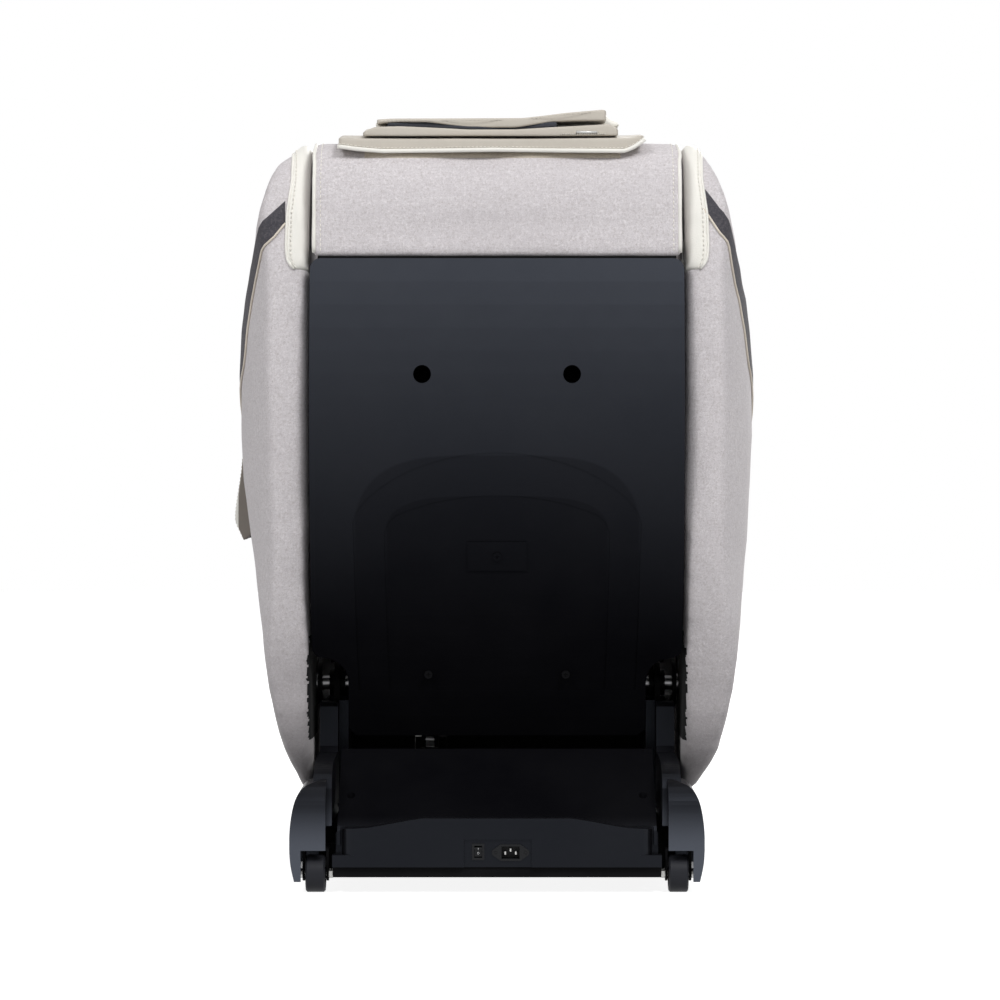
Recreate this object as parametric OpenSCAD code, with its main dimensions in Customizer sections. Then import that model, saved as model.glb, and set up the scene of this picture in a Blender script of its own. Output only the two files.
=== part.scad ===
// Massage chair: a base on tip-back casters, a seat shell that tilts on two pillars, a back that
// reclines on the same shaft, a leg rest that rises and a foot rest that slides out of it.
// X runs to the sitter's left, Y to the rear and Z up. The origin is on the floor, mid chair.
// Side outlines are written as [forward, up] and rear outlines as [outward, up].

/* [Base] */
// How far each side cover stands out past the frame tube
cover_out = 36; // [34:1:60]
// Length of the frame's side tubes, to the front panel
base_len = 790; // [740:5:830]
// Height of the frame tubes' underside over the floor
frame_z = 22; // [16:1:26]
// Width of a frame tube
tube_w = 28; // [20:1:32]
// Height of a frame tube
tube_h = 40; // [30:1:44]
// Wall of the frame tubes
tube_wall = 2.5; // [1.5:0.5:5]
// Height of the side covers along the base
skirt_h = 100; // [94:1:104]
// Height of the side covers' rounded rear ends
bulge_h = 150; // [125:1:160]
// Length of the side covers' rounded rear ends
bulge_len = 116; // [90:1:120]
// Height of the side covers' lower edge over the floor
skirt_gap = 16; // [8:1:20]
// Wall of the moulded covers
cover_wall = 4; // [3:0.5:5]
// Width of the tail cover between the side covers
tail_w = 438; // [420:2:440]
// Height of the tail cover's rear face
tail_h = 101; // [90:1:110]
// Height of the tail cover's lower edge
tail_gap = 36; // [34:1:44]
// Length of the tail cover's ramp
ramp_len = 158; // [130:1:158]
// Height of the upper end of the ramp
ramp_top = 180; // [165:1:180]
// Diameter of the rear casters
caster_d = 50; // [40:1:56]
// Width of the rear casters
caster_w = 26; // [16:1:28]
// Diameter of the front feet
foot_d = 26; // [20:1:28]

/* [Pivot] */
// Distance of the main shaft in front of the base's rear face
pivot_f = 290; // [284:1:296]
// Height of the main shaft
pivot_z = 262; // [256:1:268]
// Diameter of the main shaft
shaft_d = 20; // [14:1:24]
// Radial clearance of everything that turns on a shaft
running = 0.1; // [0.05:0.01:0.1]
// Thickness of the pillar plates
pillar_t = 8; // [5:1:10]
// Width of a pillar's moulded cover
pillar_w = 34; // [28:1:36]

/* [Back] */
// Width of the back cover
back_w = 506; // [480:2:510]
// Lean of the back from upright, in degrees
lean = 10; // [8:0.5:12]
// Length of the back cover above the shaft
cover_up = 613; // [590:1:640]
// Length of the back cover below the shaft
cover_down = 48; // [30:1:52]
// Depth of the back cover behind the shaft at its fullest
cover_depth = 165; // [150:1:168]
// Depth of the back cover behind the shaft at its lower edge
cover_low_depth = 110; // [100:1:116]
// Height of the fullest point over the shaft
cover_full_at = 260; // [240:1:300]
// Height of the corner notches over the shaft
notch_up = 70; // [60:1:76]
// Corner radius of the notches
notch_r = 34; // [20:1:40]
// Diameter of the two rimmed holes in the back cover
hole_d = 24; // [16:1:28]
// Spacing of the rimmed holes
hole_pitch = 202; // [150:2:240]
// Height of the rimmed holes over the shaft
hole_up = 462; // [430:1:480]
// Thickness of the back cushion
back_cushion_t = 57; // [40:1:60]
// Distance of the back cushion's rear face in front of the shaft
back_cushion_v = 75; // [74:1:80]
// Height of the head pad's top over the shaft
head_up = 757; // [740:1:775]
// Width of the guide rails
rail_w = 26; // [22:1:28]
// Depth of the guide rails, front to back
rail_d = 48; // [40:1:50]
// Wall of the guide rails
rail_wall = 4; // [3:0.5:5]

/* [Massage carriage] */
// Height of the parked carriage's middle over the shaft
carriage_up = 190; // [186:1:200]
// Height of the carriage
carriage_h = 150; // [144:1:160]
// Length of the carriage's travel
carriage_travel = 330; // [200:5:330]
// Gear module of racks and pinions
gear_module = 3; // [3:0.5:3.5]
// Teeth of a drive pinion
pinion_teeth = 16; // [14:1:17]
// Diameter of the massage rollers
roller_d = 60; // [44:1:62]
// Width of the massage rollers
roller_w = 26; // [16:1:30]
// Distance between the two roller arms
arm_pitch = 140; // [120:2:160]

/* [Seat] */
// Height of the seat cushion's top
seat_h = 452; // [430:1:480]
// Thickness of the seat cushion
seat_cushion_t = 102; // [80:1:104]
// Width of the seat cushion
seat_w = 472; // [440:2:474]
// Front of the seat cushion, from the base's rear face
seat_front = 866; // [830:1:868]
// Thickness of the seat board
board_t = 12; // [9:1:18]
// Thickness of the seat's side plates
plate_t = 6; // [4:1:6]

/* [Side pods] */
// Width across the two side pods
pod_w = 734; // [710:2:750]
// Height of the side pods
pod_h = 1008; // [990:1:1030]
// Height of the arms
arm_h = 622; // [600:1:650]
// Front of the arms, from the base's rear face
arm_front = 910; // [880:1:925]
// Width of the leather trim on the pods' inner top edge
trim_w = 41; // [25:1:60]
// Height of the trim's lower edge
trim_z = 862; // [820:1:900]
// Radius of the pods' lower rear corner about the shaft
pod_corner_r = 150; // [140:1:152]

/* [Remote] */
// Length of the remote control
remote_l = 118; // [90:1:124]
// Width of the remote control
remote_w = 48; // [38:1:60]
// Thickness of the remote control
remote_t = 12; // [9:0.5:12.5]
// Length of the remote's pocket along the arm
pocket_l = 100; // [80:1:110]
// Depth of the remote's pocket
pocket_h = 135; // [125:1:145]
// Wall of the remote's pocket
pocket_wall = 4; // [3:0.5:5]

/* [Leg rest] */
// Distance of the leg rest's hinge in front of the base's rear face
hinge_f = 885; // [882:1:895]
// Height of the leg rest's hinge
hinge_z = 385; // [378:1:390]
// Width of the leg rest
leg_w = 464; // [430:2:474]
// Length of the calf section
calf_l = 196; // [170:1:200]
// Depth of the calf section, front to back
calf_d = 200; // [180:1:210]
// Width of a calf or foot well
well_w = 148; // [130:2:156]
// Width of the wall between the wells
divider_w = 60; // [40:2:64]
// Depth of the calf wells
well_d = 135; // [110:1:140]
// Height of the foot section
foot_h = 98; // [80:1:98]
// Reach of the foot section in front of the hinge
foot_reach = 315; // [280:1:330]
// Travel of the foot section
foot_travel = 90; // [40:5:90]
// Width of the foot section's slide tubes
slide_w = 19; // [14:1:21]
// Depth of the foot section's slide tubes
slide_d = 20; // [14:1:21]
// Turn of the leg rest from hanging to raised, in degrees
leg_turn = 80; // [60:1:80]

/* [Actuators] */
// Diameter of an actuator's tube
act_tube_d = 40; // [32:1:44]
// Diameter of an actuator's rod
act_rod_d = 18; // [12:1:20]
// Diameter of the actuators' pins
act_pin_d = 10; // [8:1:12]
// Shortest distance of the leg actuator's line from the leg rest's hinge
leg_lever = 60; // [54:1:62]
// Slope of the leg actuator, in degrees
leg_slope = 10; // [8:0.5:12]

/* [Hidden] */
$fn = 48;

// Gaps between pieces
seam = 0.3;              // between pieces that lie against each other on different bodies
play = 5;                // beside the back where it passes the side pods
side_play = 4;           // between pillar, seat plate and back frame
eps = 0.01;              // overshoot of a cut

// The chair's frame: the base's rear face lies at rear_y
rear_y = (hinge_f + foot_reach) / 2;

// Widths from the back outward
back_half = back_w / 2;
pod_in = back_half + play;
plate_out = pod_in - 6;
plate_in = plate_out - plate_t;
pillar_out = plate_in - side_play;
pillar_in = pillar_out - pillar_w;
narrow_half = pillar_in - side_play;
rail_out = narrow_half - 2;
rail_in = rail_out - rail_w;

// Base
tube_out = pillar_out - 2;
tube_in = tube_out - tube_w;
frame_top = frame_z + tube_h;
pan_t = 3;
pan_top = frame_z + 20 + pan_t;
caster_x = tube_out + 2;
caster_f = caster_d / 2 + 3;
fork_t = 3;
wheel_play = 1.5;
fork_in = caster_x - caster_w / 2 - wheel_play - fork_t;
side_half = tube_out + cover_out;
bulge_in = tube_out - 12;
cross_d = 30;
cross_f = [caster_f + caster_d / 2 + 5, 385, base_len - cross_d];
foot_f = base_len - 45;
pan_end = cross_f[1];

// Electrics on the floor pan: place [x, forward] and size [x, forward, up]
supply_at = [-196, cross_f[0] + cross_d + 14];
supply = [120, 112, 44];
control_at = [-190, supply_at[1] + supply[1] + 18];
control = [150, 140, 40];
pump_at = [24, supply_at[1] + supply[1] - 8];
pump = [140, 124];
pump_foot = 14;
pump_d = 46;

// Rear face of the base
panel_w = 90;
panel_z0 = tail_gap;
panel_z1 = 73;
panel_recess = 3;
inlet_x = -18;
inlet_z = 55.5;
inlet_w = 50;
inlet_h = 22;
socket_w = 24;
socket_h = 16.5;
socket_depth = 18;
switch_x = 25;
switch_w = 13.5;
switch_h = 19;
switch_fit = 0.3;
rocker_r = 4.5;
rocker_tilt = 8;         // rests pressed in at its lower end

// Back, in its own frame: v forward of the shaft, u up along the back
cover_curve = (cover_depth - cover_low_depth) / pow(cover_full_at + cover_down, 2);
function cover_v(u) = -cover_depth + cover_curve * pow(u - cover_full_at, 2);
cushion_low = 62;
cushion_front = back_cushion_v + back_cushion_t;
back_cushion_half = back_half - 5;
head_low = cover_up + 2;
rail_low = -40;
rail_top = cover_up + 26;
bracket_top = cover_up - 29;
bracket_up = [108, (108 + bracket_top) / 2, bracket_top];
rack_v = -rail_d / 2;
rack_t = 6;
cross_tube = 24;

// Gears of the carriage
pitch_r = gear_module * pinion_teeth / 2;
tooth_add = 0.95 * gear_module;
tooth_ded = 1.25 * gear_module;
pinion_v = rack_v - rack_t - tooth_ded - pitch_r;
tooth_pitch = PI * gear_module;
backlash = 0.5;
rack_x0 = rail_in + 3;
rack_x1 = rail_out - 3;
pinion_shaft_d = 14;

// Carriage
car_half = rail_in - 6;
car_plate = 8;
car_rear = -78;
car_front = 22;
knead_up = 15;
knead_v = 0;
knead_d = 16;
roller_v = 32;
roller_up = [65, -65];
arm_t = 12;
arm_x = arm_pitch / 2;
motor_d = 50;
motor_l = 84;
roller_pin_d = 10;

// Seat
board_z = seat_h - seat_cushion_t - board_t;
pivot_boss_r = 30;
hinge_pin_d = 16;
seat_rear = pivot_f + cushion_front + 7 - (board_z - pivot_z) * sin(lean);

// Actuator pins, as [forward, up] from the base's rear face and the floor
tilt_base = [400, 92];
tilt_seat = [pivot_f + 250, pivot_z];
recline_seat = [pivot_f + 330, pivot_z - 15];
recline_back = [pivot_f + 20, pivot_z - 82];
lane = 95;               // sideways place of the recline (+) and leg (-) actuators
seat_tube = 30;          // square tubes across the seat frame
tube1 = [tilt_seat[0] - seat_tube / 2, tilt_seat[1] + 14];
tube2 = [recline_seat[0] - seat_tube / 2, recline_seat[1] - 28 - seat_tube];
tube3 = [seat_front - 66, board_z - 82];
leg_foot = [hinge_f + leg_lever * sin(leg_slope), hinge_z - leg_lever * cos(leg_slope)];
leg_stroke = 2 * leg_lever * tan(leg_turn / 2);
leg_pin = leg_foot - leg_stroke / 2 * [cos(leg_slope), sin(leg_slope)];
leg_act_l = 232;
leg_mount = leg_pin - leg_act_l * [cos(leg_slope), sin(leg_slope)];
slot_play = 3.6;
eye_r = 11;
eye_w = 12;
fork_gap = 1;

// Leg rest, from its hinge
leg_half = leg_w / 2;
leg_back = 9;
slide_x = 125;
slide_play = 0.5;
slide_wall = 3;
pad_back = leg_back + slide_d + 2 * slide_play + slide_wall + seam;
slide_hold = 74;          // length of the slides left in their sleeves when drawn out
tube_x = slide_w / 2 + slide_play + slide_wall;
calf_top = 6;
calf_low = calf_top - calf_l;
foot_top = calf_low - 2;
foot_low = foot_top - foot_h;
sole_t = 16;
heel_d = 42;

// Remote pocket
pocket_f = 420;
pocket_z = 450;
arm_out = pod_w / 2 - 17;
remote_f = pocket_f + pocket_l / 2 - remote_w / 2;
remote_x = arm_out + 1;
remote_z = pocket_z + pocket_wall + seam + 8;
key_t = 2.2;
key_out = 1;
key_fit = 0.4;

// ---- helpers -------------------------------------------------------------------------------

// A smooth curve through points, with n steps between neighbours
function blend_point(a, b, c, d, t) =
    0.5 * (2 * b + (c - a) * t + (2 * a - 5 * b + 4 * c - d) * t * t
           + (3 * b - a - 3 * c + d) * t * t * t);
function smooth(p, n = 3) = concat(
    [for (i = [0:len(p) - 2]) for (k = [0:n - 1])
        blend_point(p[max(i - 1, 0)], p[i], p[i + 1], p[min(i + 2, len(p) - 1)], k / n)],
    [p[len(p) - 1]]);
function arc(c, r, a0, a1, n = 8) =
    [for (i = [0:n]) let (a = a0 + (a1 - a0) * i / n) c + r * [cos(a), sin(a)]];
function reversed(p) = [for (i = [len(p) - 1:-1:0]) p[i]];
function pushed(p, c, t) = [for (q = p) q + t * (q - c) / norm(q - c)];

// Frames: the chair's, the back's and the leg rest's, all with forward towards -Y
module in_chair() {
    translate([0, rear_y, 0]) children();
}

module in_back() {
    translate([0, rear_y - pivot_f, pivot_z]) rotate([-lean, 0, 0]) children();
}

module in_leg() {
    translate([0, rear_y - hinge_f, hinge_z]) children();
}

module in_carriage() {
    in_back() translate([0, 0, carriage_up]) children();
}

// A side outline [forward, up] as thick as x0 to x1
module slab(x0, x1) {
    translate([x1, 0, 0]) rotate([90, 0, -90]) linear_extrude(height = x1 - x0) children();
}

// A rear outline [x, up] from f0 to f1 forward
module plate(f0, f1) {
    translate([0, -f0, 0]) rotate([90, 0, 0]) linear_extrude(height = f1 - f0) children();
}

// A top outline [x, forward] from z0 to z1
module layer(z0, z1) {
    translate([0, 0, z0]) mirror([0, 1, 0]) linear_extrude(height = z1 - z0) children();
}

module block(x, f, z) {
    translate([x[0], -f[1], z[0]]) cube([x[1] - x[0], f[1] - f[0], z[1] - z[0]]);
}

// A rod or bore along X, centred on [forward, up]
module rod_x(x0, x1, p, d) {
    translate([x0, -p[0], p[1]]) rotate([0, 90, 0]) cylinder(d = d, h = x1 - x0);
}

// A rod or bore pointing forward from f0 to f1
module rod_f(x, z, f0, f1, d) {
    translate([x, -f0, z]) rotate([90, 0, 0]) cylinder(d = d, h = f1 - f0);
}

module both() {
    children();
    mirror([1, 0, 0]) children();
}

// side is 1 for the sitter's left and -1 for the right
module on_side(side) {
    if (side > 0) children();
    else mirror([1, 0, 0]) children();
}

// Square tubes, open at both ends
module tube_f(x, f, z) {
    difference() {
        block(x, f, z);
        block([x[0] + tube_wall, x[1] - tube_wall], [f[0] - 1, f[1] + 1],
              [z[0] + tube_wall, z[1] - tube_wall]);
    }
}

module tube_across(x, f, z) {
    difference() {
        block(x, f, z);
        block([x[0] - 1, x[1] + 1], [f[0] + tube_wall, f[1] - tube_wall],
              [z[0] + tube_wall, z[1] - tube_wall]);
    }
}

// Two lug plates with their pin across X at p, standing on a foot line at height z
module lugs(x, p, z) {
    width = 26;
    t = 5;
    mid = eye_w / 2 + fork_gap + t / 2;
    for (s = [-1, 1])
        slab(x + s * mid - t / 2, x + s * mid + t / 2) union() {
            translate(p) circle(d = width);
            polygon([[p[0] - width / 2, p[1]], [p[0] + width / 2, p[1]],
                     [p[0] + width / 2, z], [p[0] - width / 2, z]]);
        }
    rod_x(x - mid - 6, x + mid + 6, p, act_pin_d);
}

// ---- base ----------------------------------------------------------------------------------

module base_frame() {
    color("dimgray") in_chair() {
        both() tube_f([tube_in, tube_out], [cross_f[0] + cross_d, base_len],
                      [frame_z, frame_top]);
        tube_across([-tube_out, tube_out], [cross_f[0], cross_f[0] + cross_d],
                    [frame_z, frame_top]);
        for (f = [cross_f[1], cross_f[2]])
            tube_across([-tube_in, tube_in], [f, f + cross_d], [frame_z, frame_top]);
        // Rear bar under the tail cover, on two stubs
        block([-fork_in + 6, fork_in - 6], [6, 26], [frame_z, tail_gap - seam]);
        both() block([tube_in, fork_in - 6], [26, cross_f[0]], [frame_z, tail_gap - seam]);
        // Floor pan that carries the electrics
        difference() {
            block([-tube_in, tube_in], [cross_f[0] + cross_d, pan_end],
                  [pan_top - pan_t, pan_top]);
            for (x = [-90, 0, 90])
                translate([x, -(cross_f[0] + cross_d + 24), 0])
                    cylinder(d = 16, h = pan_top + 10);
        }
        lugs(0, tilt_base, frame_top);
    }
}

module pivot_pillars() {
    mid = (pillar_in + pillar_out) / 2;
    color("gray") in_chair() both() difference() {
        union() {
            slab(mid - pillar_t / 2, mid + pillar_t / 2) union() {
                translate([pivot_f, pivot_z]) circle(r = pivot_boss_r);
                polygon([[pivot_f - pivot_boss_r, pivot_z], [pivot_f + pivot_boss_r, pivot_z],
                         [pivot_f + 40, frame_top], [pivot_f - 38, frame_top]]);
            }
            block([tube_in + 2, tube_out - 1], [pivot_f - 38, pivot_f + 40],
                  [frame_top, frame_top + 6]);
            rod_x(mid - 11, mid + 11, [pivot_f, pivot_z], shaft_d + 16);
        }
        rod_x(mid - 20, mid + 20, [pivot_f, pivot_z], shaft_d + 2 * running);
    }
}

// Rear outline of the tail cover: level in the middle, dipping to rounded corners
function tail_outline(w, low, high) =
    let (h = w / 2, dip = 15,
         edge = smooth([[-h, high - dip - 10], [-h + 14, high - dip], [-h + 50, high - dip + 3],
                        [-h + 112, high - 1], [-h + 132, high]], 5))
    concat(edge, reversed([for (p = edge) [-p[0], p[1]]]), [[h, low], [-h, low]]);

module tail_cover() {
    half = tail_w / 2;
    lip = 20;
    skirt_lip = 16;
    corner = lip - 2;
    ramp = [[lip, tail_h - 12], [ramp_len - 8, ramp_top - 4], [ramp_len, ramp_top],
            [ramp_len, ramp_top - 26], [ramp_len - cover_wall, ramp_top - 26],
            [ramp_len - cover_wall, ramp_top - cover_wall - 5],
            [lip, tail_h - 12 - cover_wall]];
    panel_x = (inlet_x + switch_x) / 2 - 4.5;
    color("#1b1d20") in_chair() difference() {
        union() {
            difference() {
                intersection() {
                    plate(0, lip) polygon(tail_outline(tail_w, tail_gap, tail_h));
                    union() {
                        block([-half, half], [0, lip], [tail_gap - 1, tail_gap + skirt_lip]);
                        layer(tail_gap + skirt_lip - eps, tail_h + 1) polygon(concat(
                            [[-half, lip + 1]], arc([-half + corner + 12, corner], corner, 180, 270, 9),
                            arc([half - corner - 12, corner], corner, 270, 360, 9),
                            [[half, lip + 1]]));
                    }
                }
                plate(cover_wall + 4, lip + 1) polygon([for (p = tail_outline(tail_w, tail_gap,
                    tail_h)) [p[0] * (1 - (cover_wall + 18) / half),
                              p[1] - (p[1] > tail_gap ? cover_wall : 3 * cover_wall)]]);
            }
            slab(-half + 6, half - 6) polygon(ramp);
            both() slab(half - 6 - cover_wall, half - 6)
                polygon([[lip - 4, tail_h - 18], [lip, tail_h - 12],
                         [ramp_len - 8, ramp_top - 4], [ramp_len, ramp_top],
                         [ramp_len, ramp_top - 60], [ramp_len - 40, frame_top + 2],
                         [lip - 4, frame_top + 2]]);
            // Screw bosses down to the frame
            both() intersection() {
                translate([half - 22, -(cross_f[0] + cross_d / 2), frame_top])
                    cylinder(d = 16, h = ramp_top);
                slab(half - 40, half)
                    polygon([[lip, frame_top], [lip, tail_h - 14], [ramp_len - 8, ramp_top - 6],
                             [ramp_len - 8, frame_top]]);
            }
        }
        // Recessed panel of the inlet and the switch
        block([panel_x - panel_w / 2, panel_x + panel_w / 2], [-1, panel_recess],
              [panel_z0 - 1, panel_z1]);
        block([inlet_x - 14.2, inlet_x + 14.2], [-1, lip + 1],
              [inlet_z - 10.2, inlet_z + 10.2]);
        block([switch_x - switch_w / 2 - switch_fit, switch_x + switch_w / 2 + switch_fit],
              [-1, lip + 1],
              [inlet_z + 1 - switch_h / 2 - switch_fit, inlet_z + 1 + switch_h / 2 + switch_fit]);
        both() translate([half - 22, -(cross_f[0] + cross_d / 2), frame_top - 1])
            cylinder(d = 5, h = 100);
        both() translate([half - 22, -(cross_f[0] + cross_d / 2), tail_h + 4])
            cylinder(d = 11, h = 60);
    }
}

module tail_cover_screws() {
    x = tail_w / 2 - 22;
    f = cross_f[0] + cross_d / 2;
    color("silver") in_chair() both() difference() {
        union() {
            translate([x, -f, tail_h + 4]) cylinder(d = 9, h = 3);
            translate([x, -f, frame_top]) cylinder(d = 4.6, h = tail_h + 4 - frame_top);
        }
        for (a = [0, 90])
            translate([x, -f, tail_h + 6]) rotate([0, 0, a]) cube([5, 1, 3], center = true);
    }
}

// Rear outline [x, up] of a side cover: it rounds the outer shoulder. Set in by t
function shoulder(t) = concat(
    [[tube_in, -1], [side_half - 6 - t, -1]],
    smooth([[side_half - 6 - t, skirt_gap], [side_half - 1 - t, 42], [side_half - t, 76],
            [side_half - 3 - t, bulge_h - 44 - t], [side_half - 9 - t, bulge_h - 22 - t],
            [side_half - 20 - t, bulge_h - 8 - t], [bulge_in + 6 - t, bulge_h - t]], 5),
    [[tube_in, bulge_h - t]]);

// Side outline of the fairing that rises from the bulge to the pillar's sleeve. Set in by t
function fairing(t) = concat(
    [[pivot_f - 43 + eps, skirt_h - 3 * cover_wall], [30 + t, skirt_h - 3 * cover_wall]],
    smooth([[30 + t, bulge_h - 12 - t], [44 + t, bulge_h + 6 - t], [76 + t, bulge_h + 18 - t],
            [128 + t, bulge_h + 21 - t], [pivot_f - 92 + t, bulge_h + 22 - t]], 5),
    [[pivot_f - 85 + t, bulge_h + 30 - t], [pivot_f - 80 + t, pivot_z - 28 - t],
     [pivot_f - 74 + t, pivot_z - 22 - t], [pivot_f - 43 + eps, pivot_z - 22 - t]]);

// Side cover: a skirt with a rounded rear end, a wheel arch and the pillar's sleeve
module side_cover(side) {
    wall = cover_wall + 1;
    fair_in = pillar_in + 13;
    fair_out = pillar_out + side_play;
    outline = concat(
        [[4, skirt_gap], [base_len + 6, skirt_gap], [base_len + 6, skirt_h - 14]],
        arc([base_len - 8, skirt_h - 14], 14, 0, 90, 4),
        smooth([[bulge_len + 84, skirt_h], [bulge_len + 54, skirt_h + 8],
                [bulge_len + 12, bulge_h - 18], [bulge_len - 22, bulge_h - 2]], 6),
        arc([42, bulge_h - 42], 42, 90, 180, 12),
        [[0, skirt_gap + 30]]);
    inner = [for (p = outline) [min(max(p[0], wall), base_len - wall + 6),
                                max(p[1] - wall, 0)]];
    color("#16181a") in_chair() on_side(side) difference() {
        union() {
            // Shell over the frame
            difference() {
                intersection() {
                    slab(bulge_in, side_half) polygon(outline);
                    plate(-1, base_len + 10) polygon(shoulder(0));
                }
                intersection() {
                    slab(bulge_in - 1, side_half - wall) polygon(inner);
                    plate(-2, base_len + 11) polygon(shoulder(wall));
                }
            }
            block([tube_in + 2, bulge_in], [bulge_len + 90, base_len],
                  [skirt_h - wall, skirt_h]);
            // Ribs that seat the cover on the side tube
            for (f = [cross_f[0] + cross_d + 40, base_len / 2, base_len - 60])
                block([tube_out, side_half - wall], [f, f + wall], [frame_z + 6, skirt_h - wall]);
            // Sleeve round the pillar
            difference() {
                block([pillar_in, pillar_out], [pivot_f - 43, pivot_f + 55],
                      [skirt_h - wall, pivot_z - 22]);
                block([pillar_in + 3, pillar_out - 3], [pivot_f - 40, pivot_f + 52],
                      [skirt_h - wall - 1, pivot_z - 25]);
            }
            difference() {
                slab(fair_in, fair_out) polygon(fairing(0));
                slab(fair_in + cover_wall, fair_out - cover_wall) polygon(fairing(cover_wall));
            }
        }
        // Slot for the pillar through the sleeve's roof and the cover's top
        block([pillar_in + 5, pillar_out - 5], [pivot_f - 39, pivot_f + 44],
              [skirt_h - wall - 5, pivot_z]);
        // Wheel arch
        block([bulge_in - 1, caster_x + caster_w / 2 + 6], [-1, caster_f + caster_d / 2 + 4],
              [-1, caster_d + 8]);
    }
}

module side_cover_left() { side_cover(1); }

module side_cover_right() { side_cover(-1); }

module front_panel() {
    color("#16181a") in_chair()
        block([-tube_in, tube_in], [base_len + seam, base_len + seam + cover_wall],
              [skirt_gap + 4, skirt_h]);
}

module front_feet() {
    mid = (tube_in + tube_out) / 2;
    color("#101010") in_chair() both() {
        translate([mid, -foot_f, 0]) cylinder(d1 = foot_d - 3, d2 = foot_d, h = 4);
        translate([mid, -foot_f, 4]) cylinder(d = foot_d, h = frame_z - 4);
    }
}

module caster_forks() {
    x0 = fork_in + fork_t;
    x1 = caster_x + caster_w / 2 + wheel_play;
    top = caster_d + 6;
    color("#222326") in_chair() both() difference() {
        union() {
            for (x = [x0 - fork_t, x1])
                slab(x, x + fork_t) union() {
                    translate([caster_f, caster_d / 2]) circle(d = 20);
                    polygon([[caster_f - 10, caster_d / 2], [caster_f + 10, caster_d / 2],
                             [cross_f[0], frame_top - 8], [cross_f[0], top + fork_t],
                             [caster_f - 10, top + fork_t]]);
                }
            block([x0 - fork_t, x1 + fork_t], [caster_f - 10, cross_f[0]],
                  [top, top + fork_t]);
        }
        rod_x(x0 - 10, x1 + 10, [caster_f, caster_d / 2], 8 + 2 * running);
    }
}

module caster_axles() {
    x0 = fork_in;
    x1 = caster_x + caster_w / 2 + wheel_play + fork_t;
    p = [caster_f, caster_d / 2];
    color("silver") in_chair() both() {
        rod_x(x0 - 5, x1 + seam, p, 8);
        rod_x(x1 + seam, x1 + 3, p, 13);
        translate([x0 - 5, -p[0], p[1]]) rotate([0, 90, 0]) cylinder(d = 13, h = 5, $fn = 6);
    }
}

module caster_wheel(side) {
    p = [caster_f, caster_d / 2];
    r = caster_d / 2;
    w = caster_w / 2;
    color("#222426") in_chair() on_side(side) difference() {
        union() {
            translate([caster_x, -p[0], p[1]]) rotate([0, 90, 0]) rotate_extrude()
                polygon([[0, -w + 2], [r - 7, -w + 2], [r - 6, -w], [r - 2, -w], [r, -w + 2],
                         [r, w - 2], [r - 2, w], [r - 6, w], [r - 7, w - 2], [0, w - 2]]);
            rod_x(caster_x - caster_w / 2 - 1, caster_x + caster_w / 2 + 1, p, 16);
        }
        rod_x(caster_x - caster_w, caster_x + caster_w, p, 8 + 2 * running);
    }
}

module caster_wheel_left() { caster_wheel(1); }

module caster_wheel_right() { caster_wheel(-1); }

module power_inlet() {
    color("#202224") in_chair() difference() {
        union() {
            plate(1, panel_recess) hull() for (s = [-1, 1]) {
                translate([inlet_x + s * (inlet_w / 2 - 5), inlet_z]) circle(r = 5);
                translate([inlet_x + s * 9, inlet_z]) square([8, inlet_h], center = true);
            }
            block([inlet_x - 14, inlet_x + 14], [panel_recess, 26],
                  [inlet_z - 10, inlet_z + 10]);
        }
        block([inlet_x - socket_w / 2, inlet_x + socket_w / 2], [0, socket_depth],
              [inlet_z - socket_h / 2, inlet_z + socket_h / 2]);
        for (s = [-1, 1])
            rod_f(inlet_x + s * (inlet_w / 2 - 5), inlet_z, 0, 2, 5);
    }
    color("silver") in_chair() for (x = [-7, 0, 7])
        block([inlet_x + x - 1, inlet_x + x + 1], [5, socket_depth + 2],
              [inlet_z - 2 + (x == 0 ? 3 : -1), inlet_z + 2 + (x == 0 ? 3 : -1)]);
}

module switch_housing() {
    z = inlet_z + 1;
    color("#202224") in_chair() difference() {
        union() {
            block([switch_x - switch_w / 2 - 1.5, switch_x + switch_w / 2 + 1.5],
                  [1.2, panel_recess], [z - switch_h / 2 - 1.5, z + switch_h / 2 + 1.5]);
            block([switch_x - switch_w / 2, switch_x + switch_w / 2], [panel_recess, 24],
                  [z - switch_h / 2, z + switch_h / 2]);
        }
        block([switch_x - switch_w / 2 + 1.5, switch_x + switch_w / 2 - 1.5], [0, 16],
              [z - switch_h / 2 + 1.5, z + switch_h / 2 - 1.5]);
        rod_x(switch_x - switch_w / 2 - 1, switch_x + switch_w / 2 + 1, [8, z],
              2 + 2 * running);
    }
}

module switch_rocker() {
    z = inlet_z + 1;
    half = switch_w / 2 - 1.5 - switch_fit;
    tip = switch_h / 2 - 3;
    color("#2c2e30") in_chair() translate([0, -8, z]) rotate([-rocker_tilt, 0, 0]) {
        slab(switch_x - half, switch_x + half)
            polygon(concat([[0, -rocker_r], [-5.4, -tip]],
                           smooth([[-6, -tip + 1], [-4.6, 0], [-6, tip - 1]], 4),
                           [[-5.4, tip], [0, rocker_r]],
                           arc([0, 0], rocker_r, 90, -90, 8)));
        rod_x(switch_x - half - 1.5, switch_x + half + 1.5, [0, 0], 2);
    }
}

module power_supply() {
    fin = 5;
    color("#8b8f92") in_chair() translate([supply_at[0], -supply_at[1], pan_top]) {
        block([0, supply[0]], [0, supply[1]], [0, supply[2]]);
        for (x = [2 * fin:3 * fin:supply[0] - 2 * fin])
            block([x, x + fin], [2 * fin, supply[1] - 2 * fin], [supply[2] - eps, supply[2] + 3]);
    }
}

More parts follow.
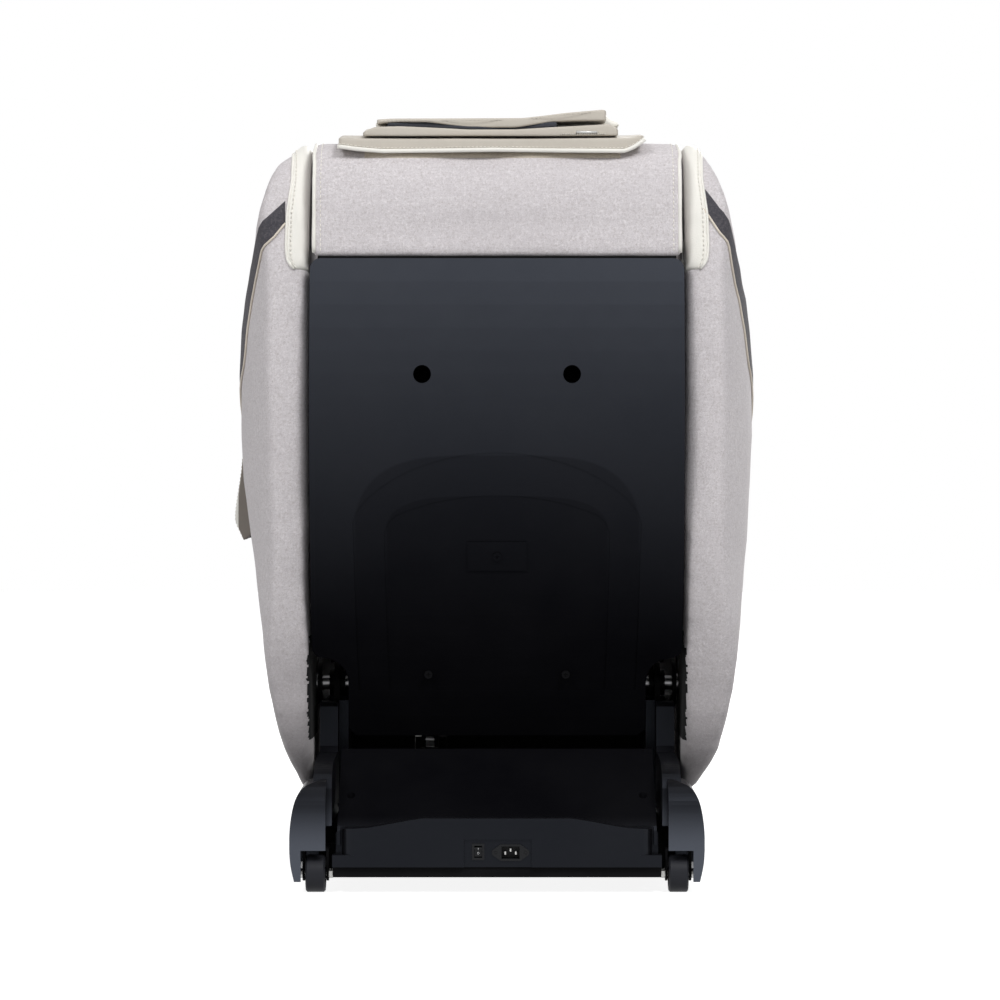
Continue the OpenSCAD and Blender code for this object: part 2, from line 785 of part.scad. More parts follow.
module control_box() {
    slot = 4;
    color("#26292c") in_chair() translate([control_at[0], -control_at[1], pan_top]) difference() {
        block([0, control[0]], [0, control[1]], [0, control[2]]);
        for (f = [4 * slot:3 * slot:control[1] - 4 * slot])
            block([4 * slot, control[0] - 4 * slot], [f, f + slot],
                  [control[2] - slot / 2, control[2] + 1]);
    }
}

// Pump: a foot plate, a head and a motor in line, and two air outlets
module air_pump() {
    port = 8;
    axis = pump[1] / 2;
    color("#3a3d40") in_chair() translate([pump_at[0], -pump_at[1], pan_top]) {
        block([0, pump[0]], [0, pump[1]], [0, pump_foot]);
        rod_x(pump_foot, pump[0] / 2, [axis, pump_foot + 0.45 * pump_d], pump_d);
        rod_x(pump[0] / 2 - eps, pump[0] - pump_foot, [axis, pump_foot + 0.4 * pump_d], 0.8 * pump_d);
        for (f = [axis - 4 * port, axis + 4 * port])
            rod_x(pump[0] - pump_foot, pump[0] + port, [f, pump_foot - port / 2 - 1], port);
    }
}

// ---- seat ----------------------------------------------------------------------------------

// Side outline of a seat plate: shaft boss, arm and hinge boss
module seat_plate_outline() {
    difference() {
        union() {
            translate([pivot_f, pivot_z]) circle(r = pivot_boss_r);
            translate([hinge_f, hinge_z]) circle(r = 16);
            polygon([[pivot_f, pivot_z - pivot_boss_r],
                     [tube2[0] - 60, tube2[1] - 4], [tube2[0] + 70, tube2[1] - 4],
                     [seat_front - 20, tube3[1] - 6], [hinge_f + 16, hinge_z],
                     [hinge_f - 16, hinge_z], [seat_front - 26, board_z + 6],
                     [seat_rear + 10, board_z + 6], [seat_rear + 6, board_z - 12],
                     [pivot_f, pivot_z + pivot_boss_r]]);
        }
        translate([pivot_f, pivot_z]) circle(d = shaft_d + 2 * running);
        translate([hinge_f, hinge_z]) circle(d = hinge_pin_d + 2 * running);
    }
}

module seat_frame() {
    color("dimgray") in_chair() {
        both() slab(plate_in, plate_out) seat_plate_outline();
        for (p = [tube1, tube2, tube3])
            tube_across([-plate_in, plate_in], [p[0], p[0] + seat_tube],
                        [p[1], p[1] + seat_tube]);
        // Ledges under the seat board
        both() block([plate_in - 24, plate_in], [seat_rear + 12, seat_front - 30],
                     [board_z - 4, board_z]);
        // Spacers that carry the pods
        both() for (p = [[tube2[0] - 30, tube2[1] + 20], [seat_front - 90, board_z - 24],
                         [seat_rear + 40, board_z - 40]])
            rod_x(plate_out, pod_in, p, 24);
        seat_lugs();
    }
}

// Lugs of the three actuators on the seat's cross tubes
module seat_lugs() {
    lugs(0, tilt_seat, tube1[1]);
    lugs(lane, recline_seat, tube2[1] + seat_tube);
    lugs(-lane, leg_mount, tube2[1] + seat_tube);
}

module main_shaft() {
    color("silver") in_chair() {
        rod_x(-plate_out, plate_out, [pivot_f, pivot_z], shaft_d);
        both() rod_x(plate_out, plate_out + 3, [pivot_f, pivot_z], shaft_d + 8);
    }
}

module seat_board() {
    color("burlywood") in_chair() difference() {
        block([-seat_w / 2, seat_w / 2], [seat_rear, seat_front - 30],
              [board_z, board_z + board_t]);
        for (x = [-140, 140])
            translate([x, -(seat_rear + seat_front) / 2, board_z - 1])
                cylinder(d = 40, h = board_t + 2);
    }
}

module seat_cushion() {
    z0 = board_z + board_t;
    nose = 38;
    color("#d9d4cf") in_chair() slab(-seat_w / 2, seat_w / 2)
        polygon(concat([[seat_rear, z0], [seat_front - 26, z0], [seat_front, z0 + 45]],
                       arc([seat_front - nose, seat_h - nose], nose, 0, 90, 8),
                       [[seat_rear + 60, seat_h - 8], [seat_rear, seat_h - 12]]));
}

// Outlines of a side pod
pod_side = concat(
    arc([pivot_f, pivot_z], pod_corner_r, 180, 270, 8),
    smooth([[560, 118], [700, 165], [800, 262], [arm_front - 38, 385],
            [arm_front - 4, 470], [arm_front, arm_h - 80], [arm_front - 18, arm_h - 28],
            [arm_front - 64, arm_h - 4], [700, arm_h], [590, arm_h + 4], [515, arm_h + 34],
            [462, arm_h + 105], [424, pod_h - 175], [375, pod_h - 82],
            [310, pod_h - 22], [240, pod_h], [180, pod_h - 10], [136, pod_h - 58],
            [112, pod_h - 148], [98, 740], [92, 600], [100, 450], [122, 340]], 2));
pod_rear = concat(
    [[pod_in, 60]],
    smooth([[pod_in + 14, 112], [pod_w / 2 - 84, 124], [pod_w / 2 - 69, 145],
            [pod_w / 2 - 53, 187], [pod_w / 2 - 38, 251], [pod_w / 2 - 26, 334],
            [pod_w / 2 - 12, 430], [pod_w / 2 - 4, 520], [pod_w / 2, 640],
            [pod_w / 2 - 1, 740], [pod_w / 2 - 8, 807], [pod_w / 2 - 22, pod_h - 146],
            [pod_w / 2 - 34, pod_h - 100], [pod_w / 2 - 48, pod_h - 60],
            [pod_w / 2 - 62, pod_h - 26], [pod_w / 2 - 82, pod_h - 5],
            [pod_in + 8, pod_h + 2]], 2),
    [[pod_in, pod_h + 10]]);
pod_top = concat(
    [[pod_in, 60]],
    smooth([[pod_in + 44, 84], [pod_w / 2 - 42, 120], [pod_w / 2 - 16, 190],
            [pod_w / 2 - 3, 280], [pod_w / 2, 350], [arm_out + 9, 398], [arm_out + 0.3, 420],
            [arm_out, 560], [arm_out - 4, 700], [arm_out - 14, 800],
            [arm_out - 42, arm_front - 30], [arm_out - 74, arm_front + 4]], 2),
    [[pod_in, arm_front + 20]]);

module pod_shape() {
    intersection() {
        slab(pod_in, pod_w / 2 + 10) polygon(pod_side);
        plate(60, arm_front + 30) polygon(pod_rear);
        layer(60, pod_h + 20) polygon(pod_top);
    }
}

// Inner arm pad beside the seat cushion
module arm_pad() {
    slab(seat_w / 2 + 4, pod_in)
        polygon(concat([[seat_rear + 22, board_z + 20], [seat_front - 30, board_z + 20]],
                       arc([arm_front - 60, arm_h - 66], 44, 0, 90, 6),
                       [[590, arm_h - 20], [500, arm_h - 16], [seat_rear + 22, arm_h - 40]]));
}

module trim_zone() {
    block([pod_in - 1, pod_in + trim_w], [60, 600], [trim_z, pod_h + 20]);
}

module side_pod(side) {
    color("#cfcac8") in_chair() on_side(side) {
        difference() {
            pod_shape();
            trim_zone();
        }
        arm_pad();
    }
}

module side_pod_left() { side_pod(1); }

module side_pod_right() { side_pod(-1); }

module pod_trim(side) {
    color("#ece9e0") in_chair() on_side(side) intersection() {
        pod_shape();
        trim_zone();
    }
}

module pod_trim_left() { pod_trim(1); }

module pod_trim_right() { pod_trim(-1); }

// ---- remote --------------------------------------------------------------------------------

module remote_pocket() {
    top = pocket_z + pocket_h;
    lip_x = remote_x + remote_t + 6;
    outer = concat([[arm_out - 30, top], [lip_x, top]],
                   smooth([[lip_x, top - 4], [lip_x + 3, top - 30], [lip_x + 8, top - 65],
                           [lip_x + 11, pocket_z + 44], [lip_x + 8, pocket_z + 18],
                           [lip_x - 3, pocket_z]], 3),
                   [[arm_out - 30, pocket_z]]);
    inner = [for (p = outer) [p[0] - pocket_wall,
                              p[1] > top - 1 ? top + 1 : max(p[1], pocket_z + pocket_wall)]];
    color("#ece9e0") in_chair() difference() {
        plate(pocket_f, pocket_f + pocket_l) polygon(outer);
        plate(pocket_f + pocket_wall, pocket_f + pocket_l - pocket_wall) polygon(inner);
        plate(pocket_f - 1, pocket_f + pocket_l + 1)
            polygon([[arm_out - 60, pocket_z - 20], [arm_out + seam, pocket_z - 20],
                     [arm_out + seam, top + 20], [arm_out - 60, top + 20]]);
    }
}

key_z = [remote_l - 24, remote_l / 2, 26];
key_f = remote_f + remote_w / 2;

module remote_control() {
    color("#2a2c2f") in_chair() difference() {
        slab(remote_x, remote_x + remote_t) translate([remote_f, remote_z]) union() {
            translate([0, 8]) square([remote_w, remote_l - 16]);
            translate([8, 0]) square([remote_w - 16, remote_l]);
            for (p = [[8, 8], [remote_w - 8, 8], [8, remote_l - 8], [remote_w - 8, remote_l - 8]])
                translate(p) circle(r = 8);
        }
        rod_x(remote_x + remote_t - key_t - 2, remote_x + remote_t + 1,
              [key_f, remote_z + key_z[0]], 12 + 2 * key_fit);
        block([remote_x + remote_t - key_t - 2, remote_x + remote_t + 1],
              [key_f - 6 - key_fit, key_f + 6 + key_fit],
              [remote_z + key_z[1] - 13 - key_fit, remote_z + key_z[1] + 13 + key_fit]);
        rod_x(remote_x + remote_t - key_t - 2, remote_x + remote_t + 1,
              [key_f, remote_z + key_z[2]], 12 + 2 * key_fit);
    }
}

module round_key(i, hue) {
    color(hue) in_chair()
        rod_x(remote_x + remote_t - key_t, remote_x + remote_t + key_out,
              [key_f, remote_z + key_z[i]], 12);
}

module key_power() { round_key(0, "#b04038"); }

module key_program() { round_key(2, "#d8d8d8"); }

module key_recline() {
    z = remote_z + key_z[1];
    color("#d8d8d8") in_chair()
        slab(remote_x + remote_t - key_t, remote_x + remote_t + key_out) union() {
            translate([key_f - 6, z - 7]) square([12, 14]);
            for (s = [-1, 1])
                translate([key_f, z + s * 7]) circle(d = 12);
        }
}

// ---- back ----------------------------------------------------------------------------------

module back_frame() {
    color("dimgray") in_back() {
        both() difference() {
            block([rail_in, rail_out], [-rail_d / 2, rail_d / 2], [rail_low, rail_top]);
            block([rail_in - 1, rail_out - rail_wall],
                  [-rail_d / 2 + rail_wall, rail_d / 2 - rail_wall],
                  [30, rail_top - rail_wall]);
            rod_x(rail_in - 1, rail_out + 1, [0, 0], shaft_d + 2 * running);
        }
        for (u = [-34, rail_top - cross_tube])
            tube_across([-rail_in, rail_in], [-cross_tube / 2, cross_tube / 2],
                        [u, u + cross_tube]);
        // Brackets that carry the cover and the cushion
        for (u = bracket_up) both() {
            block([rail_out, rail_out + 5], [-rail_d / 2, back_cushion_v - seam], [u, u + 24]);
            slab(rail_out, rail_out + 5)
                polygon([[-rail_d / 2, u], [-rail_d / 2, u + 24],
                         [cover_v(u + 24) + cover_wall + 1, u + 24],
                         [cover_v(u) + cover_wall + 1, u]]);
        }
        // Lever of the recline actuator
        for (s = [-1, 1])
            slab(lane + s * 9.5 - 2.5, lane + s * 9.5 + 2.5) recline_lever_outline();
        rod_x(lane - 12, lane + 12, recline_local, act_pin_d);
    }
}

// The recline pin in the back's own frame
recline_arm = recline_back - [pivot_f, pivot_z];
recline_local = [recline_arm[0] * cos(lean) + recline_arm[1] * sin(lean),
                 recline_arm[1] * cos(lean) - recline_arm[0] * sin(lean)];

module recline_lever_outline() {
    union() {
        translate(recline_local) circle(d = 24);
        polygon([[-12, -34 + cross_tube], [-12, -34], recline_local + [-11, 4],
                 recline_local + [11, -4], [12, -34], [12, -34 + cross_tube]]);
    }
}

// Rack tooth outline in [v, u], teeth pointing to the rear
module rack_outline(u0, count) {
    face = rack_v - rack_t;
    tip = face - tooth_ded - tooth_add;
    slope = tan(20);
    half = tooth_pitch / 4 - backlash / 2;
    polygon(concat(
        [[rack_v, u0 - tooth_pitch / 2]],
        [[face, u0 - tooth_pitch / 2]],
        [for (i = [0:count - 1]) let (c = u0 + i * tooth_pitch)
            each [[face, c - half - tooth_ded * slope], [tip, c - half + tooth_add * slope],
                  [tip, c + half - tooth_add * slope], [face, c + half + tooth_ded * slope]]],
        [[face, u0 + (count - 0.5) * tooth_pitch], [rack_v, u0 + (count - 0.5) * tooth_pitch]]));
}

module guide_racks() {
    below = ceil(40 / tooth_pitch);
    count = below + ceil((carriage_travel + 60) / tooth_pitch);
    color("#d8d6cf") in_back() both() slab(rack_x0, rack_x1)
        rack_outline(carriage_up - below * tooth_pitch + tooth_pitch / 2, count);
}

// Points of the cover's section from its lower to its upper edge, set in by t
function cover_line(t, n = 22) =
    [for (i = [0:n]) let (u = -cover_down + (cover_up + cover_down) * i / n)
        [cover_v(u) + t, u]];

module cover_rear_outline(inset) {
    h = back_half - inset;
    n = narrow_half - inset;
    polygon(concat(
        arc([h - 14, cover_up - inset - 14], 14, 0, 90, 4),
        arc([-h + 14, cover_up - inset - 14], 14, 90, 180, 4),
        [[-h, notch_up + inset + 16]],
        arc([-h + 16, notch_up + inset + 16], 16, 180, 270, 4),
        arc([-n - notch_r, notch_up + inset - notch_r], notch_r, 90, 0, 6),
        [[-n, -cover_down + 10], [-n + 10, -cover_down],
         [n - 10, -cover_down], [n, -cover_down + 10]],
        reversed(arc([n + notch_r, notch_up + inset - notch_r], notch_r, 90, 180, 6)),
        reversed(arc([h - 16, notch_up + inset + 16], 16, 0, -90, 4)),
        [[h, notch_up + inset + 16]]));
}

// The shallow arch pressed into the cover, at half width w and with its top at height top
module arch_outline(w, top, rise) {
    low = notch_up - 48;
    polygon(concat(
        smooth([[-w, low], [-w - 4, top - rise - 60], [-w, top - rise], [-w * 0.72, top - rise * 0.42],
                [-w * 0.36, top - rise * 0.1], [0, top], [w * 0.36, top - rise * 0.1],
                [w * 0.72, top - rise * 0.42], [w, top - rise], [w + 4, top - rise - 60], [w, low]], 3)));
}

arch = [[190, 358, 80, 1.4], [148, 300, 38, 2.6]];   // half width, top, rise and depth
hatch_up = 216;
hatch_w = 80;
hatch_h = 40;
cover_screw_x = 94;
cover_screw_up = 46;

module back_cover() {
    rim = hole_d / 2 + 4;
    color("#23262b") in_back() difference() {
        union() {
            intersection() {
                slab(-back_half, back_half)
                    polygon(concat(cover_line(0), reversed(cover_line(cover_wall))));
                plate(-200, 50) cover_rear_outline(0);
            }
            // Returned edges along both sides and the top
            both() slab(back_half - cover_wall, back_half) polygon(concat(
                [for (p = cover_line(1)) if (p[1] > notch_up + 20 && p[1] < cover_up - 16) p],
                [[-48, cover_up - 20], [-74, notch_up + 24]]));
            for (s = [-1, 1]) intersection() {
                rod_f(s * hole_pitch / 2, hole_up, 60, 200, 2 * rim);
                slab(-back_half, back_half)
                    polygon(concat(cover_line(-1.5), reversed(cover_line(1))));
            }
        }
        for (s = [-1, 1])
            rod_f(s * hole_pitch / 2, hole_up, -220, 0, hole_d);
        for (a = arch) intersection() {
            plate(-220, 0) arch_outline(a[0], a[1], a[2]);
            slab(-back_half, back_half)
                polygon(concat(cover_line(-6), reversed(cover_line(a[3]))));
        }
        for (s = [-1, 1])
            rod_f(s * cover_screw_x, cover_screw_up, -220, 0, 5.4);
        rod_f(0, hatch_up, -220, 0, 4.6);
    }
}

module cover_screw(x, u, depth) {
    head = cover_v(u) + depth;
    translate([x, -head, u]) rotate([-90, 0, 0]) difference() {
        union() {
            cylinder(d = 11, h = 3);
            translate([0, 0, -14]) cylinder(d = 4, h = 14);
        }
        for (a = [0, 90])
            translate([0, 0, 3]) rotate([0, 0, a]) cube([6, 1.2, 3], center = true);
    }
}

module back_cover_screws() {
    color("#3a3c3e") in_back() for (s = [-1, 1])
        cover_screw(s * cover_screw_x, cover_screw_up, -0.6);
}

// Blank service plate on the cover, with its screw
module back_hatch() {
    color("#2b2e32") in_back() difference() {
        intersection() {
            plate(-220, 0) translate([-hatch_w / 2, hatch_up - hatch_h / 2])
                square([hatch_w, hatch_h]);
            slab(-hatch_w, hatch_w)
                polygon(concat(cover_line(arch[1][3] - 2.4), reversed(cover_line(arch[1][3]))));
        }
        rod_f(0, hatch_up, -220, 0, 4.6);
    }
    color("silver") in_back() cover_screw(0, hatch_up, arch[1][3] - 2.8);
}

head_curve = smooth([[cover_v(cover_up) + 2, head_low + 6], [-78, head_up - 92],
                     [-64, head_up - 50], [-46, head_up - 20], [-18, head_up - 3],
                     [20, head_up], [58, head_up - 6], [back_cushion_v - 3, head_up - 22]], 3);
head_section = concat([[back_cushion_v - 3, head_low + 9], [cover_v(cover_up) + 2, head_low]],
                      head_curve);

module head_pad() {
    half = back_half - 2;
    shelf = rail_top + seam;
    color("#d2cdc9") in_back() difference() {
        slab(-half, half) polygon(head_section);
        block([-rail_out - seam, rail_out + seam], [-rail_d / 2 - seam, rail_d / 2 + seam],
              [head_low - 1, shelf]);
        block([-rail_out, rail_out], [-90, rail_d / 2], [head_low - 1, head_low + 1]);
    }
}

module back_cushion() {
    low = cushion_low;
    top = head_up - 22;
    color("#d9d4cf") in_back() slab(-back_cushion_half, back_cushion_half)
        polygon(concat([[back_cushion_v, low], [cushion_front - 10, low],
                        [cushion_front, low + 14]],
                       arc([cushion_front - 34, top - 34], 34, 0, 90, 6),
                       [[back_cushion_v, top]]));
}

// The flap lies over the head pad's top and down its rear face
flap_centre = [0, head_up - 120];
flap_line = [for (i = [10:18]) head_curve[i]];
flap_half = 213;
flap_t = 11;

module pillow_flap() {
    color("#ece9e0") in_back() slab(-flap_half, flap_half)
        polygon(concat(pushed(flap_line, flap_centre, seam),
                       reversed(pushed(flap_line, flap_centre, flap_t))));
}

pillow_axis = [-30, head_up + flap_t + seam];
pillow_t = 23;
pillow_half = 177;
pillow_drop = 195;

module head_pillow() {
    z0 = pillow_axis[1];
    front = cushion_front + 3;
    color("#ece9e0") in_back() {
        slab(-pillow_half, pillow_half)
            polygon(concat([[pillow_axis[0], z0], [front, z0], [front, z0 - pillow_drop]],
                           arc([front + 24, z0 - pillow_drop], 24, 180, 360, 8),
                           arc([front + 18, z0 - 16], 30, 0, 90, 6),
                           [[pillow_axis[0], z0 + 12]]));
        slab(-pillow_half + 20, pillow_half - 16)
            polygon([[pillow_axis[0] + 6, z0 + 12 - eps], [front + 16, z0 + 12 - eps],
                     [front + 4, z0 + pillow_t], [pillow_axis[0] + 20, z0 + pillow_t - 2]]);
    }
}

// ---- massage carriage ----------------------------------------------------------------------

module carriage_frame() {
    h = carriage_h / 2;
    color("#9a9ea2") in_carriage() {
        both() difference() {
            union() {
                block([car_half - car_plate, car_half], [car_rear, car_front], [-h, h]);
                // Guide shoes in the rails
                for (u = [-h + 4, h - 34])
                    block([car_half - 1, rail_out - rail_wall - seam],
                          [-rail_d / 2 + rail_wall + seam, rail_d / 2 - rail_wall - seam],
                          [u, u + 30]);
            }
            rod_x(0, car_half + 1, [pinion_v, 0], pinion_shaft_d + 2 * running);
            rod_x(0, car_half + 1, [knead_v, knead_up], knead_d + 2 * running);
        }
        for (u = [-h, h - 5])
            block([-car_half, car_half], [car_rear, -30], [u, u + 5]);
        // Saddles of the two motors
        difference() {
            block([-car_half + car_plate, car_half - car_plate], [car_rear, car_rear + 4],
                  [-h + 5, h - 5]);
            block([-40, 40], [car_rear - 1, car_rear + 5], [-24, 24]);
        }
    }
}

motor_v = car_rear + 4 + motor_d / 2;
motor_up = carriage_h / 2 - 5 - motor_d / 2 - 1;

module carriage_motors() {
    color("#b9bcbe") in_carriage() for (s = [-1, 1]) {
        x = s * 88;
        rod_x(x - motor_l / 2, x + motor_l / 2, [motor_v, s * motor_up], motor_d);
        rod_x(x - motor_l / 2 - 8, x + motor_l / 2 + 8, [motor_v, s * motor_up], 18);
    }
}

// Pinion outline: involute flanks from the base circle to the tip
module pinion_outline() {
    base_r = pitch_r * cos(20);
    root_r = pitch_r - tooth_ded;
    tip_r = pitch_r + tooth_add;
    half_deg = 90 / pinion_teeth - backlash / 2 / pitch_r * 180 / PI;
    inv20 = (tan(20) - 20 * PI / 180) * 180 / PI;
    steps = 5;
    flank = [for (i = [0:steps]) let (
                 r = max(base_r, root_r) + (tip_r - max(base_r, root_r)) * i / steps,
                 t = acos(min(1, base_r / r)),
                 inv = (tan(t) - t * PI / 180) * 180 / PI)
             [r, half_deg + inv20 - inv]];
    polygon([for (k = [0:pinion_teeth - 1]) let (c = k * 360 / pinion_teeth)
        each concat([[root_r * cos(c - flank[0][1]), root_r * sin(c - flank[0][1])]],
                    [for (q = flank) q[0] * [cos(c - q[1]), sin(c - q[1])]],
                    [for (q = reversed(flank)) q[0] * [cos(c + q[1]), sin(c + q[1])]],
                    [[root_r * cos(c + flank[0][1]), root_r * sin(c + flank[0][1])]])]);
}

module drive_pinions() {
    color("#c8c4b8") in_carriage() {
        both() slab(rack_x0 + 1, rack_x1 - 1) translate([pinion_v, 0]) pinion_outline();
        rod_x(-rack_x1 - 1, rack_x1 + 1, [pinion_v, 0], pinion_shaft_d);
    }
}

module kneading_shaft() {
    color("silver") in_carriage() {
        rod_x(-car_half - 3, car_half + 3, [knead_v, knead_up], knead_d);
        difference() {
            rod_x(-30, 30, [knead_v, knead_up], 34);
            rod_x(-22, 22, [knead_v, knead_up + 17], 8);
        }
    }
}

module roller_arm(side) {
    x0 = arm_x - arm_t / 2;
    hub = [knead_v, knead_up];
    color("#55585c") in_carriage() on_side(side) {
        difference() {
            slab(x0, x0 + arm_t) union() {
                translate(hub) circle(d = 36);
                for (u = roller_up) {
                    tip = [roller_v, u];
                    along = (tip - hub) / norm(tip - hub);
                    across = 8 * [-along[1], along[0]];
                    translate(tip) circle(d = 20);
                    polygon([hub - across, hub + across, tip + across, tip - across]);
                }
            }
            rod_x(x0 - 1, x0 + arm_t + 1, hub, knead_d + 2 * running);
        }
        for (u = roller_up)
            rod_x(x0 + arm_t - 1, x0 + arm_t + roller_w + 3, [roller_v, u], roller_pin_d);
        for (u = roller_up)
            rod_x(x0 + arm_t + roller_w + 1.5, x0 + arm_t + roller_w + 4, [roller_v, u],
                  roller_pin_d + 5);
    }
}

module roller_arm_left() { roller_arm(1); }

module roller_arm_right() { roller_arm(-1); }

module roller(side, u) {
    x0 = arm_x + arm_t / 2 + 0.5;
    r = roller_d / 2;
    round_r = min(9, roller_w / 2 - 2);
    color("#c9b9a2") in_carriage() on_side(side)
        translate([x0, -roller_v, u]) rotate([0, 90, 0]) rotate_extrude()
            polygon(concat([[roller_pin_d / 2 + running, 0]],
                           arc([r - round_r, round_r], round_r, -90, 0, 4),
                           arc([r - round_r, roller_w - round_r], round_r, 0, 90, 4),
                           [[roller_pin_d / 2 + running, roller_w]]));
}

module roller_upper_left() { roller(1, roller_up[0]); }

module roller_lower_left() { roller(1, roller_up[1]); }

module roller_upper_right() { roller(-1, roller_up[0]); }

module roller_lower_right() { roller(-1, roller_up[1]); }

// ---- leg rest ------------------------------------------------------------------------------

leg_pin_local = leg_pin - [hinge_f, hinge_z];

// Slotted lever: the rod's pin runs out and back along the slot as the leg rest turns
module leg_lever_outline() {
    dir = leg_pin_local / norm(leg_pin_local);
    near = leg_lever - slot_play;
    far = norm(leg_pin_local) + slot_play;
    slot_half = act_pin_d / 2 + slot_play;
    side = [-dir[1], dir[0]];
    difference() {
        union() {
            circle(d = 30);
            translate(dir * far) circle(r = slot_half + 6);
            polygon([side * 15, dir * far + side * (slot_half + 6),
                     dir * far - side * (slot_half + 6), -side * 15]);
        }
        translate(dir * near) circle(r = slot_half);
        translate(dir * far) circle(r = slot_half);
        polygon([dir * near + side * slot_half, dir * far + side * slot_half,
                 dir * far - side * slot_half, dir * near - side * slot_half]);
    }
}

module leg_frame() {
    color("dimgray") in_leg() {
        rod_x(-plate_out - 2, plate_out + 2, [0, 0], hinge_pin_d);
        for (x = [-lane - 15, -lane + 10])
            slab(x, x + 5) leg_lever_outline();
        both() {
            difference() {
                block([slide_x - tube_x, slide_x + tube_x],
                      [leg_back - slide_wall, leg_back + slide_d + 2 * slide_play + slide_wall],
                      [calf_low, -10]);
                block([slide_x - slide_w / 2 - slide_play, slide_x + slide_w / 2 + slide_play],
                      [leg_back, leg_back + slide_d + 2 * slide_play],
                      [calf_low - 1, -20]);
            }
            block([slide_x - tube_x, slide_x + tube_x],
                  [-4, leg_back + slide_d + 2 * slide_play + slide_wall], [-10, 4]);
        }
        for (z = [calf_low + 10, -60])
            block([-slide_x + tube_x, slide_x - tube_x], [leg_back, leg_back + 20],
                  [z, z + 20]);
    }
}

module wells(f0, f1, z0, z1) {
    both() block([divider_w / 2, divider_w / 2 + well_w], [f0, f1], [z0, z1]);
}

module calf_pad() {
    floor_f = calf_d - well_d;
    color("#d9d4cf") in_leg() difference() {
        block([-leg_half, leg_half], [pad_back, calf_d], [calf_low, calf_top]);
        wells(floor_f, calf_d + 1, calf_low - 1, calf_top + 1);
        // Room for the lever and the rod's eye
        block([-lane - 20, -lane + 20], [pad_back - 1, floor_f - 12], [calf_low + 90, calf_top + 1]);
    }
}

module foot_slide() {
    top = min(-26, calf_low + foot_travel + slide_hold);
    color("gray") in_leg() {
        both() block([slide_x - slide_w / 2, slide_x + slide_w / 2],
                     [leg_back + slide_play, leg_back + slide_play + slide_d],
                     [foot_low + 6, top]);
        block([-leg_half + 8, leg_half - 8], [leg_back - 2, foot_reach - 12],
              [foot_low + 2, foot_low + 6]);
    }
}

module foot_pad() {
    z0 = foot_low;
    color("#d9d4cf") in_leg() difference() {
        block([-leg_half, leg_half], [leg_back - 4, foot_reach], [z0, foot_top]);
        // The slide tubes and their tray
        block([-leg_half + 8 - seam, leg_half - 8 + seam],
              [leg_back - 5, foot_reach - 12 + seam], [z0 + 2 - seam, z0 + 6 + seam]);
        both() block([slide_x - slide_w / 2 - 1, slide_x + slide_w / 2 + 1],
                     [leg_back - 5, leg_back + slide_play + slide_d + 1],
                     [z0 + 3, foot_top + 1]);
        wells(heel_d + leg_back - 4, foot_reach + 1, z0 + sole_t, foot_top + 1);
    }
}

// ---- actuators -----------------------------------------------------------------------------

// Body and rod along +X from the body's pin. head_l is the gear head, body_l the tube's end
module actuator_body(body_l, flip) {
    head_l = 58;
    difference() {
        union() {
            rotate([90, 0, 0]) translate([0, 0, -eye_w / 2]) cylinder(r = eye_r, h = eye_w);
            translate([0, -eye_w / 2, -eye_r + 2]) cube([22, eye_w, 2 * eye_r - 4]);
            translate([20, -22, -22]) cube([head_l - 20, 44, 44]);
            translate([head_l, 0, 0]) rotate([0, 90, 0])
                cylinder(d = act_tube_d, h = body_l - head_l);
            // Motor beside the tube
            translate([head_l, flip * (act_tube_d / 2 + 19), 0]) rotate([0, 90, 0])
                cylinder(d = 34, h = 78);
            translate([20, min(0, flip * 40), -17]) cube([head_l - 20, 40, 34]);
        }
        rotate([90, 0, 0]) cylinder(d = act_pin_d + 2 * running, h = 60, center = true);
        translate([head_l + 4, 0, 0]) rotate([0, 90, 0])
            cylinder(d = act_rod_d + 2 * running, h = body_l);
    }
}

module actuator_rod(start, length, hole) {
    difference() {
        union() {
            translate([start, 0, 0]) rotate([0, 90, 0])
                cylinder(d = act_rod_d, h = length - start - 6);
            translate([length, 0, 0]) rotate([90, 0, 0]) translate([0, 0, -eye_w / 2])
                cylinder(r = eye_r, h = eye_w);
        }
        if (hole > 0)
            translate([length, 0, 0]) rotate([90, 0, 0]) cylinder(d = hole, h = 60, center = true);
        for (s = [-1, 1])
            translate([length - 6, s * eye_w, 0]) cube([36, eye_w, 2 * eye_r + 2], center = true);
    }
}

// Lay an actuator that points along +X from pin a towards pin b, both [forward, up]
module from_to(x, a, b) {
    d = b - a;
    in_chair() translate([x, -a[0], a[1]]) rotate([-atan2(d[1], d[0]), 0, 0])
        rotate([0, 0, -90]) children();
}

open_hole = act_pin_d + 6;
tilt_l = norm(tilt_seat - tilt_base);
recline_l = norm(recline_back - recline_seat);

module tilt_actuator() {
    color("#1f2123") from_to(0, tilt_base, tilt_seat) actuator_body(tilt_l - 26, 1);
}

module tilt_rod() {
    color("silver") from_to(0, tilt_base, tilt_seat) actuator_rod(66, tilt_l, open_hole);
}

module recline_actuator() {
    color("#1f2123") from_to(lane, recline_seat, recline_back) actuator_body(recline_l - 68, 1);
}

module recline_rod() {
    color("silver") from_to(lane, recline_seat, recline_back)
        actuator_rod(recline_l - 160, recline_l, open_hole);
}

module leg_actuator() {
    color("#1f2123") from_to(-lane, leg_mount, leg_pin) actuator_body(leg_act_l - 26, -1);
}

module leg_rod() {
    color("silver") {
        from_to(-lane, leg_mount, leg_pin) actuator_rod(66, leg_act_l, 0);
        in_chair() rod_x(-lane - 16, -lane + 16, leg_pin, act_pin_d);
    }
}

